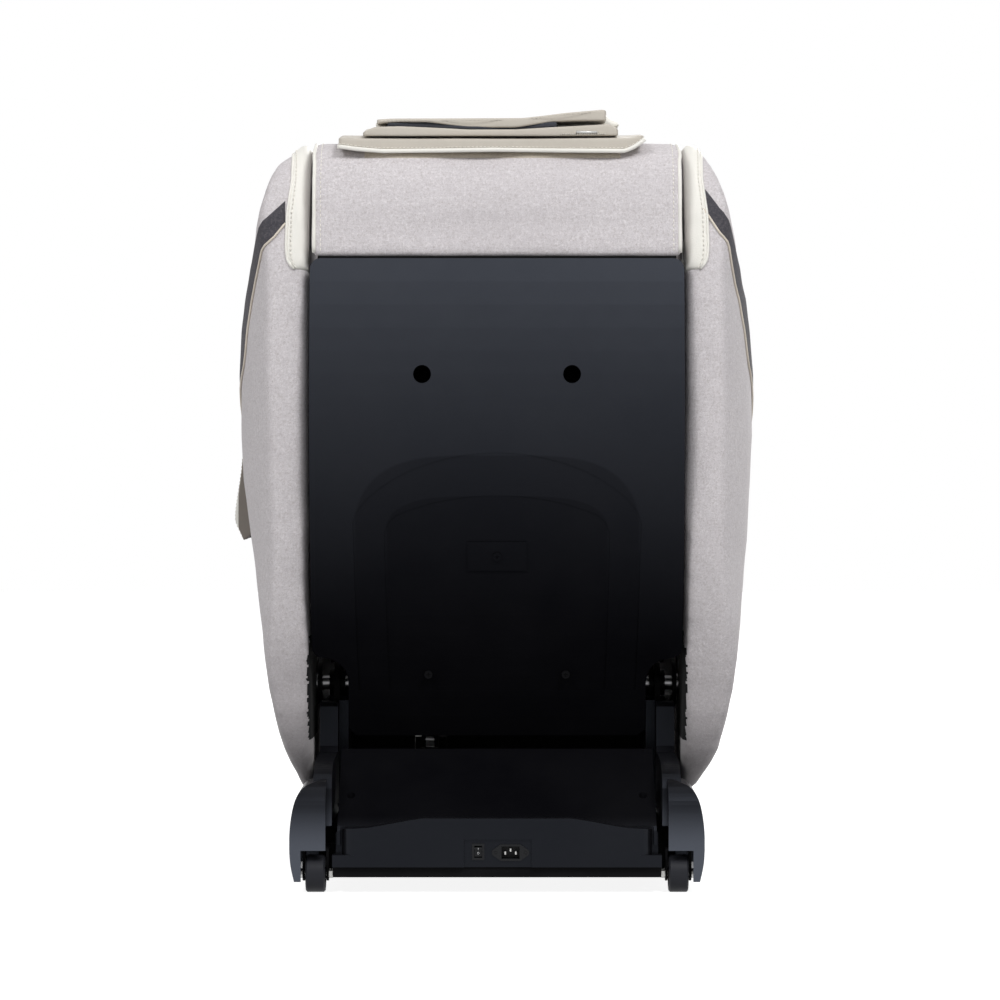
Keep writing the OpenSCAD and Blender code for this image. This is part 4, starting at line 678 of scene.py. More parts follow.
class Laid:
    """A finished soft piece that trims, seams and stitches are laid on."""

    def __init__(self, ob):
        bpy.context.view_layer.update()
        self.tree = BVHTree.FromObject(ob, bpy.context.evaluated_depsgraph_get())
        self.normals = normals(ob)
        places = coords(ob)
        self.near = KDTree(len(places))
        for i, p in enumerate(places):
            self.near.insert(p, i)
        self.near.balance()

    def normal(self, p):
        """The piece's normal near a point, as the mean of its 12 nearest points."""
        total = Vector((0, 0, 0))
        for _, i, _ in self.near.find_n(p, 12):
            total += Vector(self.normals[i])
        return total.normalized()

    def onto(self, p):
        return self.tree.find_nearest(p)[0]

    def hit(self, origin, direction):
        return self.tree.ray_cast(Vector(origin), Vector(direction).normalized())[0]

    def at_pixel(self, px, py):
        """Where the photograph's pixel falls on the piece."""
        place = self.hit(camera.location, seen(px, py, 0.2) - camera.location)
        return place or self.onto(seen(px, py, 0.25))

    def from_side(self, side, f, z):
        """Where a ray from the side meets the piece at a forward distance and a height."""
        y = REAR_Y - f
        return self.hit((side * 1.5, y, z), (-side, 0, 0)) or self.onto(Vector((side * 0.36, y, z)))

    def traced(self, start, end, count, direction):
        """Where rays from even places between start and end meet the piece; those that miss are left out."""
        hits = [self.hit(p, direction) for p in np.linspace(start, end, count)]
        return [h for h in hits if h]

    def outward(self, rows):
        """The normals at rows of points."""
        return [[self.normal(p) for p in row] for row in rows]

    def along(self, path, step):
        """Even places on the piece along a path."""
        return [self.onto(p) for p in evenly(path, max(8, int(run_length(path) / step)))]

    def seam(self, name, path, material, body, radius, raise_by):
        """Piping along a path on the piece."""
        line = [p + self.normal(p) * (radius * raise_by) for p in self.along(path, 0.008)]
        tube(name, line, radius, material, body)

    def sewn(self, name, path, body, material=None, pitch=0.0065):
        """A stitch line along a path on the piece."""
        line = self.along(path, 0.006)
        stitched(name, line, [self.normal(p) for p in line], material or THREAD, body,
                 pitch=pitch, length=pitch * 0.66, radius=0.0006, lift=0.0006)


def channel(ob, distance, depth, width):
    """Presses a sewn channel into a piece where distance(p) is near nothing."""
    co, n = coords(ob), normals(ob)
    for i, p in enumerate(co):
        d = abs(distance(p))
        if d < width:
            co[i] = p - n[i] * (depth * (0.5 + 0.5 * math.cos(math.pi * d / width)))
    put(ob, co)


def kept(ob, low, high=(9, 9, 9)):
    """Keeps every point within a box."""
    put(ob, np.clip(coords(ob), low, high))


# ---------------------------------------------------------------- CAD nodes that stay
# Each node's material and the width of its bevelled edges
KEPT = {
    "base_frame": (STEEL_PAINT, 0.0012), "pivot_pillars": (STEEL_PAINT, 0.0012),
    "tail_cover": (BLACK_TAIL, 0.0024), "tail_cover_screws": (ZINC, 0.0003),
    "side_cover_left": (BLACK_SIDE, 0.0022), "side_cover_right": (BLACK_SIDE, 0.0022),
    "front_panel": (BLACK_BASE, 0.0015), "front_feet": (RUBBER, 0.0012),
    "caster_forks": (STEEL_PAINT, 0.0006), "caster_axles": (ZINC, 0.0004),
    "caster_wheel_left": (NYLON, 0.0008), "caster_wheel_right": (NYLON, 0.0008),
    "power_inlet": (BLACK_SOFT, 0.0005), "switch_housing": (BLACK_SOFT, 0.0004),
    "switch_rocker": (BLACK_SOFT, 0.0004), "power_supply": (ALU, 0.0008),
    "control_box": (BLACK_SOFT, 0.0015), "air_pump": (PEWTER, 0.0015),
    "seat_frame": (STEEL_PAINT, 0.0010), "main_shaft": (SHAFT_STEEL, 0.0006),
    "seat_board": (BIRCH, 0.0010), "remote_control": (BLACK_SOFT, 0.0016),
    "key_power": (KEY_RED, 0.0006), "key_recline": (KEY_GREY, 0.0006),
    "key_program": (KEY_GREY, 0.0006), "back_frame": (STEEL_PAINT, 0.0010),
    "guide_racks": (ACETAL, 0.0002), "back_cover": (BLACK_COVER, 0.0011),
    "back_cover_screws": (DARK_SCREW, 0.0003), "back_hatch": (BLACK_COVER, 0.0006),
    "carriage_frame": (PEWTER, 0.0008), "carriage_motors": (ALU, 0.0012),
    "drive_pinions": (ACETAL, 0.0002), "kneading_shaft": (SHAFT_STEEL, 0.0006),
    "roller_arm_left": (PEWTER, 0.0012), "roller_arm_right": (PEWTER, 0.0012),
    "roller_upper_left": (ROLLER, 0.0015), "roller_lower_left": (ROLLER, 0.0015),
    "roller_upper_right": (ROLLER, 0.0015), "roller_lower_right": (ROLLER, 0.0015),
    "leg_frame": (STEEL_PAINT, 0.0010), "foot_slide": (ZINC, 0.0008),
    "tilt_actuator": (BLACK_SOFT, 0.0012), "tilt_rod": (SHAFT_STEEL, 0.0005),
    "recline_actuator": (BLACK_SOFT, 0.0012), "recline_rod": (SHAFT_STEEL, 0.0005),
    "leg_actuator": (BLACK_SOFT, 0.0012), "leg_rod": (SHAFT_STEEL, 0.0005),
}

for name, (material, edge) in KEPT.items():
    ob = NODES[name]
    ob.data.materials.clear()
    ob.data.materials.append(material)
    modified(ob, "BEVEL", width=edge, segments=2, limit_method="ANGLE", angle_limit=math.radians(40),
             use_clamp_overlap=True)

INLET_X = -0.018
PIN_HALF = 0.0012             # half a pin's width, with a little room


def on_pin(place, _):
    """Whether a place is on one of the inlet's three pins, which are bare metal."""
    x, y, z = place
    aside = abs(x - INLET_X)
    outer = abs(aside - 0.007) < PIN_HALF and 0.0522 < z < 0.0568
    earth = aside < PIN_HALF and 0.0562 < z < 0.0608
    return 0.5825 < y < 0.5955 and (outer or earth)


faced(NODES["power_inlet"], ZINC, on_pin)

# The switch's marks: a stroke for on and a ring for off
MARK_X = 0.0249
RING = 0.0013
stroke = [Vector((MARK_X, 0.5979, 0.0590)), Vector((MARK_X, 0.5988, 0.0613))]
tube("switch_mark_on", stroke, 0.0004, KEY_GREY, "rocker")
turns = [k * math.pi / 8 for k in range(16)]
circle = [Vector((MARK_X + RING * math.cos(a), 0.5970, 0.0545 + RING * math.sin(a))) for a in turns]
tube("switch_mark_off", circle, 0.0003, KEY_GREY, "rocker", closed=True)


# ---------------------------------------------------------------- side pods
POD_IN = 0.258                # half the width between the pods' inner sides
POD_REACH = 0.2545            # half the width that a pod's cover leaves free for the back
SEAT_ROOM = 0.2428            # half the width that it leaves free beside the seat

# Half-widths of the pods' outline in the photograph: pixel row, sitter's left, sitter's right
OUTLINE = np.array([
    (138, 180, 182), (144, 188, 190), (150, 198, 202), (157, 212, 209), (165, 221, 215), (180, 229, 223),
    (195, 234, 229), (210, 238, 233), (225, 241, 236), (240, 243, 239), (255, 245, 241), (270, 247, 243),
    (285, 249, 245), (300, 251, 248), (330, 254, 251), (375, 256, 254), (435, 255, 255), (480, 253, 253),
    (540, 247, 250), (570, 243, 247), (600, 240, 245), (630, 236, 243), (660, 233, 240), (690, 229, 236),
    (720, 223, 230), (735, 219, 226), (750, 214, 222), (765, 207, 215), (780, 197, 206), (795, 190, 196)])


def fitted(ob, side):
    """Gives a pod the photograph's outline, with its inner side where it is."""
    for _ in range(2):
        co = coords(ob)
        scale = scale_at(co[:, 1])
        row = EYE_PX + (CAMERA_Z - co[:, 2]) / scale
        half = np.abs(co[:, 0]) / scale
        inner = POD_IN / scale
        marks = np.arange(140, 800, 5)
        widest = [half[np.abs(row - mark) < 6].max(initial=0) or 190 for mark in marks]
        reach = np.interp(row, marks, np.convolve(np.pad(widest, 2, "edge"), np.ones(5) / 5, "valid"))
        want = np.interp(row, OUTLINE[:, 0], OUTLINE[:, 1 if side > 0 else 2])
        ratio = np.clip((want - inner) / np.maximum(reach - inner, 4), 0.7, 1.2)
        outside = half > inner
        co[:, 0] = np.where(outside, side * (inner + (half - inner) * ratio) * scale, co[:, 0])
        put(ob, co)
    modified(ob, "SMOOTH", iterations=3)
    settle(ob)


def side_pod(side):
    """A pod with its rounded, slightly wrinkled cover, with painted shade: black where the notch of the back
    cover shows it.
    """
    tag = SIDES[side]
    ob = combined(cad_copy("pod_" + tag, "side_pod_" + tag), cad_copy("trim_copy", "pod_trim_" + tag))
    remeshed(ob, 0.0066, 11)
    swell(ob, 0.0035)
    fitted(ob, side)
    co = coords(ob)
    for i, p in enumerate(co):
        behind = clamped((p[1] - 0.28) / 0.12)
        low = clamped((0.66 - p[2]) / 0.25)
        fold = noise.noise(Vector((side * 3.1, p[1] * 5, p[2] * 13))) * 0.5 + 0.5
        near = math.exp(-((abs(p[0]) - POD_IN) / 0.03) ** 2)
        co[i][1] -= 0.007 * near * behind * low * fold
    put(ob, co)
    wrinkled(ob, 0.0026, 0.17, 5.0 * side)
    wrinkled(ob, 0.0011, 0.045, 2.0 + side,
             lambda p: max(0.0, 1 - abs(abs(p[0]) - POD_IN) / 0.06))
    finer(ob)
    co = coords(ob)
    for i, p in enumerate(co):
        room = SEAT_ROOM if p[1] < 0.17 and p[2] < 0.64 else POD_REACH
        if abs(p[0]) < room:
            co[i][0] = side * room
    put(ob, co)
    finished(ob, FABRIC, "seat")

    def shaded_by_notch(c, _):
        ragged = 0.0026 * noise.noise(Vector((side, c[1] * 40, c[2] * 160)))
        low = clamped((0.345 - c[2]) / 0.05)
        return c[1] > 0.30 and c[2] > 0.19 and low and abs(c[0]) < POD_REACH + 0.0055 * low + ragged

    # Painted shade: the faces that the notch shows take the black knit
    faced(ob, LINING_AND_SHADE, shaded_by_notch)
    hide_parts("side_pod_" + tag)
    return Laid(ob)


# The stripe's upper and lower edge: photograph pixels on each pod's rear, then forward distance and height
STRIPE_REAR = {
    1: ([(285.4, 201), (275, 207), (265, 221), (258, 238), (254, 255), (252.2, 268)],
        [(285.4, 223.6), (277, 231), (268, 245), (261, 262), (256, 281), (252.5, 300), (249, 325),
         (246.5, 352), (244.8, 372)]),
    -1: ([(700.4, 184.7), (710.7, 193.3), (719.3, 207), (728, 227.7), (733, 246), (737, 262)],
         [(702.8, 208.8), (712.4, 219), (721, 234.6), (728, 255), (733, 278), (738, 300), (742.5, 325),
          (745.8, 352), (748, 372)]),
}
STRIPE_SIDE = (
    [(0.300, 0.800), (0.350, 0.752), (0.400, 0.704), (0.450, 0.662), (0.510, 0.626), (0.590, 0.602),
     (0.680, 0.592), (0.780, 0.585), (0.860, 0.572), (0.880, 0.567)],
    [(0.315, 0.668), (0.350, 0.630), (0.400, 0.592), (0.460, 0.566), (0.540, 0.549), (0.660, 0.538),
     (0.780, 0.531), (0.860, 0.522), (0.880, 0.519)],
)


def stripe(side, pod):
    """The charcoal band that runs from the trim round the pod's shoulder and along the arm."""
    tag = SIDES[side]
    edges = []
    for rear, forward in zip(STRIPE_REAR[side], STRIPE_SIDE):
        points = [pod.at_pixel(*p) for p in rear] + [pod.from_side(side, *p) for p in forward]
        edge = evenly(run_through(points, 6), 110)
        for _ in range(24):
            edge = [edge[0]] + [(a + 2 * b + c) / 4 for a, b, c in zip(edge, edge[1:], edge[2:])] + [edge[-1]]
        edges.append([pod.onto(q) for q in edge])
    rows = [[pod.onto(a.lerp(b, k / 14)) for k in range(15)] for a, b in zip(*edges)]
    panel("stripe_" + tag, rows, pod.outward(rows), 0.0022, STRIPE, "seat", puff=0.0012,
          power=8)
    pod.seam("stripe_piping_" + tag, edges[1], PIPING_WARM, "seat", 0.0016, 0.9)
    inside = [a.lerp(b, 0.90) for a, b in zip(*edges)]
    pod.sewn("stripe_stitches_" + tag, [p + pod.normal(p) * 0.003 for p in inside], "seat", STRIPE)


# The trim's width at shares of its length
TRIM_WIDTH = [(0, 0.029), (0.08, 0.031), (0.172, 0.030), (0.265, 0.024), (0.6, 0.026), (1, 0.033)]


def trim(side, pod):
    """Cream leather over the pod's inner top edge, from its rear face to its front."""
    tag = SIDES[side]
    centre = Vector((0, REAR_Y - 0.262, 0.795))
    start, stop, count = math.radians(-165.5), math.radians(-21), 80
    rows = []
    for i in range(count):
        turn = start + (stop - start) * i / (count - 1)
        direction = Vector((0, -math.cos(turn), -math.sin(turn)))
        share = i / (count - 1)
        width = track(TRIM_WIDTH, share)
        round_off = 0.009 * max(0.0, 1 - share / 0.046) ** 2
        row = []
        for k in range(11):
            place = centre + Vector((side * (0.2556 + (width - round_off) * k / 10), 0, 0))
            row.append(pod.hit(place + direction * 0.6, -direction) or pod.onto(place + direction * 0.2))
        rows.append(row)
    out = pod.outward(rows)
    piece = panel("trim_" + tag, rows, out, 0.0026, CREAM, "seat", puff=0.0016, power=8)
    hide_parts("pod_trim_" + tag)
    outer = [row[-1] for row in rows]
    pod.seam("trim_piping_" + tag, outer, CREAM, "seat", 0.0018, 0.9)
    line = [row[8] + n[8] * 0.0042 for row, n in zip(rows, out)]
    raised = [n[8] for n in out]
    stitched("trim_stitches_" + tag, line, raised, THREAD, "seat", pitch=0.0065, length=0.0044, radius=0.0006)


for side in SIDES:
    pod = side_pod(side)
    stripe(side, pod)
    trim(side, pod)


# ---------------------------------------------------------------- head pad
FORWARD, REARWARD, DOWN = (0, -1, 0), (0, 1, 0), (0, 0, -1)
FAR = 2.0                     # a place past every piece, where rays start


def head_pad():
    """The pad over the back's top, with the piping and the stitches at its sides."""
    low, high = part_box("head_pad")
    ob = cad_copy("head_pad_cover", "head_pad")
    remeshed(ob, 0.006, 7)
    # The rollers pass 3 mm below the pad's lower face, which therefore stays as it is
    puffed(ob, 0.005, 4.0, lambda p: abs(p[0]) > high[0] - 0.022 or p[2] < low[2] + 0.050)
    swell(ob, 0.0006)
    co = coords(ob)
    lowest = co[:, 2].min()
    near_rim = np.clip(1 - (co[:, 2] - lowest) / 0.04, 0, 1)
    near_rear = np.clip((co[:, 1] - high[1] + 0.045) / 0.03, 0, 1)
    co[:, 2] -= (lowest - low[2]) * near_rim * near_rear
    put(ob, co)
    finer(ob)
    kept(ob, (low[0], -9, low[2]), (high[0], 9, high[2] + 0.004))
    wrinkled(ob, 0.0010, 0.05, 9.0)
    finished(ob, FABRIC, "back")
    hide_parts("head_pad")
    columns = np.linspace(low[0] + 0.008, high[0] - 0.008, 30)
    hem = [Vector((x, high[1] - 0.0065, low[2] - 0.0002)) for x in columns]
    tube("head_pad_hem", hem, 0.0018, LINING_AND_SHADE, "back")
    laid = Laid(ob)
    for side, tag in SIDES.items():
        piping, stitches = (
            laid.traced((x, FAR, low[2] + 0.006), (x, FAR, high[2] - 0.030), 24, FORWARD)
            + laid.traced((x, 0.45, FAR), (x, 0.33, FAR), 14, DOWN)
            for x in (side * (high[0] - 0.004), side * (high[0] - 0.012)))
        laid.seam("head_pad_piping_" + tag, piping, CREAM, "back", 0.0026, 0.5)
        laid.sewn("head_pad_stitches_" + tag, stitches, "back")
    return laid


head = head_pad()


# ---------------------------------------------------------------- cushions
STITCH_GAP = 0.011            # from a seam to the stitches beside it


def seat_cushion():
    """The seat's cushion with its sewn channels."""
    low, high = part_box("seat_cushion")
    ob = cad_copy("seat_cushion_cover", "seat_cushion")
    stuffed(ob, 0.006, 0.0065, 6, 0.022, 4.0, lambda p: p[2] < low[2] + 0.012)
    side_line = 0.158
    cross_lines = (low[1] + 0.105, low[1] + 0.270)
    channel(ob, lambda p: abs(p[0]) - side_line if p[2] > low[2] + 0.05 else 1, 0.010, 0.013)
    for y, deep in zip(cross_lines, (0.008, 0.006)):
        channel(ob, lambda p: p[1] - y if p[2] > low[2] + 0.05 and abs(p[0]) < side_line else 1, deep, 0.012)
    wrinkled(ob, 0.0014, 0.06, 3.0, lambda p: 1.0 if p[2] > low[2] + 0.03 else 0.0)
    kept(ob, low + Vector((-0.001, -0.004, 0.0003)), high + Vector((0.001, -0.001, 0.006)))
    finished(ob, FABRIC_SEAT, "seat")
    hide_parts("seat_cushion")
    laid = Laid(ob)
    for side, tag in SIDES.items():
        x = side * side_line
        top = laid.traced((x, high[1] - 0.02, FAR), (x, low[1] + 0.03, FAR), 40, DOWN)
        ahead = low[1] - 0.5
        nose = laid.traced((x, ahead, high[2] - 0.03), (x, ahead, low[2] + 0.055), 10, REARWARD)
        laid.seam("seat_piping_" + tag, top + nose, CREAM, "seat", 0.0024, 0.5)
        for k, shift in enumerate((-STITCH_GAP, STITCH_GAP)):
            x = side * (side_line + shift)
            path = laid.traced((x, high[1] - 0.03, FAR), (x, low[1] + 0.03, FAR), 40, DOWN)
            laid.sewn(f"seat_stitches_{tag}_{k}", path, "seat")
        x, z = side * 0.6, low[2] + 0.045
        edge = laid.traced((x, high[1] - 0.02, z), (x, low[1] + 0.02, z), 30, (-side, 0, 0))
        laid.seam("seat_edge_piping_" + tag, edge, CREAM, "seat", 0.0020, 0.3)
    end = side_line - 0.006
    for k, y in enumerate(cross_lines):
        path = laid.traced((-end, y, FAR), (end, y, FAR), 40, DOWN)
        laid.sewn(f"seat_cross_stitches_{k}", path, "seat")


seat_cushion()


def back_cushion():
    """The back's cushion with its sewn channels, with painted shade at its rear: black where the cover's
    round openings show it.
    """
    ob = cad_copy("back_cushion_cover", "back_cushion")
    stuffed(ob, 0.005, 0.0065, 6, 0.022, 4.0)
    side_line = 0.168
    levels = (0.25, 0.47)

    def height(p):
        return (p[2] - PIVOT[1]) * math.cos(LEAN) - (REAR_Y - p[1] - PIVOT[0]) * math.sin(LEAN)

    def depth(p):
        return (REAR_Y - p[1] - PIVOT[0]) * math.cos(LEAN) + (p[2] - PIVOT[1]) * math.sin(LEAN)

    front = max(depth(p) for p in coords(ob)) - 0.08
    channel(ob, lambda p: abs(p[0]) - side_line if depth(p) > front else 1, 0.010, 0.013)
    for level in levels:
        channel(ob, lambda p: height(p) - level if depth(p) > front and abs(p[0]) < side_line else 1,
                0.008, 0.013)
    wrinkled(ob, 0.0014, 0.06, 7.0)
    finished(ob, FABRIC_SEAT, "back")
    rear = min(depth(p) for p in coords(ob)) + 0.012
    # Painted shade: the rear faces are black
    faced(ob, LINING_AND_SHADE, lambda c, n: depth(c) < rear and n[1] > 0.5)
    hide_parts("back_cushion")
    laid = Laid(ob)
    behind = Vector((0, math.cos(LEAN), -math.sin(LEAN)))
    for side, tag in SIDES.items():
        x = side * side_line
        path = laid.traced(in_back(0.6, 0.10, x), in_back(0.6, 0.70, x), 50, behind)
        laid.seam("back_piping_" + tag, path, CREAM, "back", 0.0024, 0.5)
        for k, shift in enumerate((-STITCH_GAP, STITCH_GAP)):
            x = side * (side_line + shift)
            path = laid.traced(in_back(0.6, 0.10, x), in_back(0.6, 0.70, x), 50, behind)
            laid.sewn(f"back_stitches_{tag}_{k}", path, "back")
    end = side_line - 0.008
    for k, level in enumerate(levels):
        path = laid.traced(in_back(0.6, level, -end), in_back(0.6, level, end), 40, behind)
        laid.sewn(f"back_cross_stitches_{k}", path, "back")


back_cushion()


def wells(node, body, name, cap):
    """A pad with two wells for the legs, lined with a dark knit, and black at its rear."""
    low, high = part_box(node)
    ob = cad_copy(node + "_cover", node)
    stuffed(ob, 0.0025, 0.0055, 5, cap, 3.0)
    wrinkled(ob, 0.0009, 0.05, 11.0)
    kept(ob, low + Vector((-0.001, -0.003, 0.0003)), high + Vector((0.001, -0.0003, -0.0003)))
    finished(ob, FABRIC_SEAT, body)
    faced(ob, SLATE, lambda c, n: 0.036 < abs(c[0]) < 0.172 and c[1] > low[1] + 0.016
          and c[2] > low[2] + 0.012 and (n[1] < -0.35 or abs(n[0]) > 0.35 or n[2] > 0.35))
    faced(ob, LINING_AND_SHADE, lambda c, n: n[1] > 0.6 and c[1] > high[1] - 0.02)
    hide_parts(node)
    laid = Laid(ob)
    for x, tag in ((-0.190, "right"), (0.0, "middle"), (0.190, "left")):
        path = laid.traced((x, -FAR, high[2] - 0.012), (x, -FAR, low[2] + 0.012), 24, REARWARD)
        if len(path) > 4:
            laid.seam(f"{name}_piping_{tag}", path, CREAM, body, 0.0020, 0.4)
            moved = [p + Vector((0.007 if x <= 0 else -0.007, 0, 0)) for p in path]
            laid.sewn(f"{name}_stitches_{tag}", moved, body)


wells("calf_pad", "leg_rest", "calf", 0.008)
wells("foot_pad", "foot_rest", "foot", 0.007)


# ---------------------------------------------------------------- head pillow and its flap
def leather_layer(name, body, material, pixels, low_edge, high_edge, rear_at, ahead, lift=0.0):
    """A folded layer of leather: its section is a slab whose rear edge has rounded corners.

    pixels are the photograph columns of its sections, low_edge and high_edge the photograph rows of its rear
    edge, and rear_at gives that edge's forward distance at a column. ahead holds the forward distance where
    the layer ends in front, and the height of its lower and upper face there.
    """
    front, front_low, front_high = ahead
    loops = []
    for px in pixels:
        rear = rear_at(px)
        x = across(px, rear)
        low = height_at(track(low_edge, px), rear) + lift
        high = height_at(track(high_edge, px), rear)
        r = min(0.0028, (high - low) * 0.48)

        def face(share, start, end):
            f = front + (rear + r - front) * share
            return Vector((x, REAR_Y - f, start + (end - start) * share ** 0.8))

        loop = [face(k / 6, front_low, low) for k in range(6)]
        for centre, start in ((low + r, -90), (high - r, -180)):
            for k in range(4):
                a = math.radians(start - 30 * k)
                loop.append(Vector((x, REAR_Y - (rear + r + r * math.cos(a)), centre + r * math.sin(a))))
        loops.append(loop + [face(k / 6, front_high, high) for k in range(5, 0, -1)])
    verts, faces = skin(loops)
    ob = add(name, facing_out(mesh_of(name, verts, faces)))
    finer(ob)
    return finished(ob, material, body)


# Photograph pixels of the leather layers' rear edges: column and row, along the lower and the upper side
FLAP_LOW = [(337, 148.6), (345, 149.4), (358, 151.2), (382, 153.2), (440, 152.6), (495, 151.8), (560, 152.6),
            (625, 153), (636, 148), (645, 141)]
FLAP_HIGH = [(337, 137.8), (365, 138.6), (495, 139), (630, 138), (645, 134.6)]
MIDDLE_LOW = [(600, 137), (619, 136.5)]
MIDDLE_HIGH = [(362, 133.5), (366, 130.5), (375, 126.8), (400, 126.2), (440, 128), (469, 129.6), (516, 129.4),
               (556, 127), (590, 125.2), (609, 124), (614, 126), (619, 131)]
TOP_LOW = [(376, 125.4), (384, 124), (400, 122.9), (428, 122.9), (469, 128.6), (516, 128.4), (551, 122.9),
           (575, 121.9), (607, 121.7)]
TOP_HIGH = [(376, 119.6), (390, 118.6), (523, 118), (545, 115.5), (564, 113), (606, 109.3), (607, 110.5)]
TOP_SEAM = [(376, 121.6), (523, 120), (564, 115), (606, 111.3)]
INSERT_LOW = [(386, 126.2), (400, 127), (440, 128.6), (469, 130), (516, 129.9), (558, 127.4)]
INSERT_HIGH = [(386, 123.2), (428, 122), (469, 126), (516, 126), (545, 122), (558, 122)]
PILLOW_TOP = [(376, 120.2), (523, 119.2), (564, 114.4), (607, 111.2)]


def pillow_flap():
    """The flap that holds the pillow: leather over the head pad's top, with a rolled and sewn hem."""
    pixels = np.linspace(644.5, 337.5, 61)

    def rear(px):
        return 0.116 + 0.004 * math.sin(px * 0.05)

    ob = leather_layer("pillow_flap_leather", "back", CREAM_SHADED, pixels, FLAP_LOW, FLAP_HIGH, rear,
                       (0.215, 1.0240, 1.0295))
    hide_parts("pillow_flap")
    hem = [seen(px, track(FLAP_LOW, px) - 1.9, rear(px)) + Vector((0, 0.0003, 0)) for px in pixels]
    tube("pillow_flap_hem", hem, 0.0029, CREAM, "back", sides=10, squash=0.75,
         up=Vector((0, 1, 0)))
    line = [p + Vector((0, 0.0001, 0.0042)) for p in hem]
    stitched("pillow_flap_stitches", line, [Vector((0, 1, 0.1))] * 2, THREAD, "back", pitch=0.0055)


# The layers behind the pillow lie on the flap at their rear edge; this fold of the back and the pillow,
# through two points, is passed as their body and only fixes them in place
PILLOW_FOLD = ("back", "pillow", (0, REAR_Y - 0.130, 1.02), (0, REAR_Y - 0.190, 1.02))


def head_pillow():
    """The pillow in front of the back, and its folded rear layers that lie on the flap."""
    low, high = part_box("head_pillow")
    ob = cad_copy("head_pillow_cover", "head_pillow")
    bm = bmesh.new()
    bm.from_mesh(ob.data)
    bmesh.ops.bisect_plane(bm, geom=bm.verts[:] + bm.edges[:] + bm.faces[:], plane_co=in_back(0.035, 0.78),
                           plane_no=(0, 1, 0), clear_outer=True)
    bmesh.ops.holes_fill(bm, edges=bm.edges)
    bm.to_mesh(ob.data)
    bm.free()
    stuffed(ob, 0.003, 0.005, 5, 0.014, 4.0)
    wrinkled(ob, 0.0012, 0.05, 13.0)
    co = coords(ob)
    scale = scale_at(co[:, 1])
    row = np.interp(MIDDLE_PX - co[:, 0] / scale, *zip(*PILLOW_TOP))
    co[:, 2] = np.minimum(co[:, 2], CAMERA_Z + (EYE_PX - row) * scale)
    put(ob, co)
    finished(ob, CREAM, "pillow")
    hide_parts("head_pillow")
    laid = Laid(ob)
    for side, tag in SIDES.items():
        x = side * 0.163
        path = laid.traced((x, -FAR, high[2] - 0.012), (x, -FAR, low[2] + 0.02), 30, REARWARD)
        laid.seam("pillow_piping_" + tag, path, CREAM, "pillow", 0.0022, 0.4)
        moved = [p - Vector((side * 0.008, 0, 0)) for p in path]
        laid.sewn("pillow_stitches_" + tag, moved, "pillow", CREAM_WORN)
    z = low[2] + 0.075
    path = laid.traced((-0.155, -FAR, z), (0.155, -FAR, z), 40, REARWARD)
    laid.sewn("pillow_cross_stitches", path, "pillow", CREAM_WORN)

    middle = leather_layer("pillow_middle_layer", PILLOW_FOLD, CREAM_SHADED, np.linspace(619, 362, 61),
                           MIDDLE_LOW, MIDDLE_HIGH, lambda px: 0.118, (0.235, 1.0315, 1.0400), lift=0.0010)
    top = leather_layer("pillow_top_layer", PILLOW_FOLD, CREAM_SHADED, np.linspace(607, 376, 61), TOP_LOW,
                        TOP_HIGH, lambda px: 0.123 + 0.003 * math.sin(px * 0.07),
                        (0.250, 1.0430, 1.0500), lift=0.0010)
    nudge = Vector((0, -0.0005, 0))
    line = [seen(px, track(TOP_SEAM, px), 0.121) + nudge for px in np.linspace(604, 380, 60)]
    stitched("pillow_top_stitches", line, [Vector((0, 1, 0.2))] * 2, CREAM_WORN, "back", pitch=0.0055)
    leather_layer("pillow_slate_insert", PILLOW_FOLD, SLATE, np.linspace(558, 386, 41), INSERT_LOW,
                  INSERT_HIGH, lambda px: 0.1255, (0.240, 1.0390, 1.0440))

    tab = [seen(px, 132.6, 0.116) for px in (597, 576)]
    tube("pillow_zip_pull", tab, 0.0022, ZINC, "back", squash=0.6)
    chain = [seen(px, 134.4, 0.117) - nudge for px in np.linspace(606, 560, 24)]
    stitched("pillow_zip_teeth", chain, [Vector((0, 1, 0))] * 2, CREAM_WORN, "back", pitch=0.0030,
             length=0.0018, radius=0.0009)


pillow_flap()
head_pillow()


def hook_strip():
    """The hook strip sewn to the head pad under the flap."""
    rows = []
    for k in range(4):
        z = height_at(150.5 + 7.6 * k / 3, 0.122)
        row = []
        for px in np.linspace(620.5, 364.6, 80):
            x = across(px, 0.12)
            row.append(head.hit((x, FAR, z), FORWARD) or head.onto(Vector((x, REAR_Y - 0.12, z))))
        rows.append(row)
    out = head.outward(rows)
    panel("hook_strip", rows, out, 0.0018, HOOK_TAPE, "back", power=10)
    line = [p + n * 0.0022 for p, n in zip(rows[1], out[1])]
    stitched("hook_strip_stitches", line, [out[1][0]] * 2, CREAM_WORN, "back", pitch=0.005, radius=0.0005)


hook_strip()


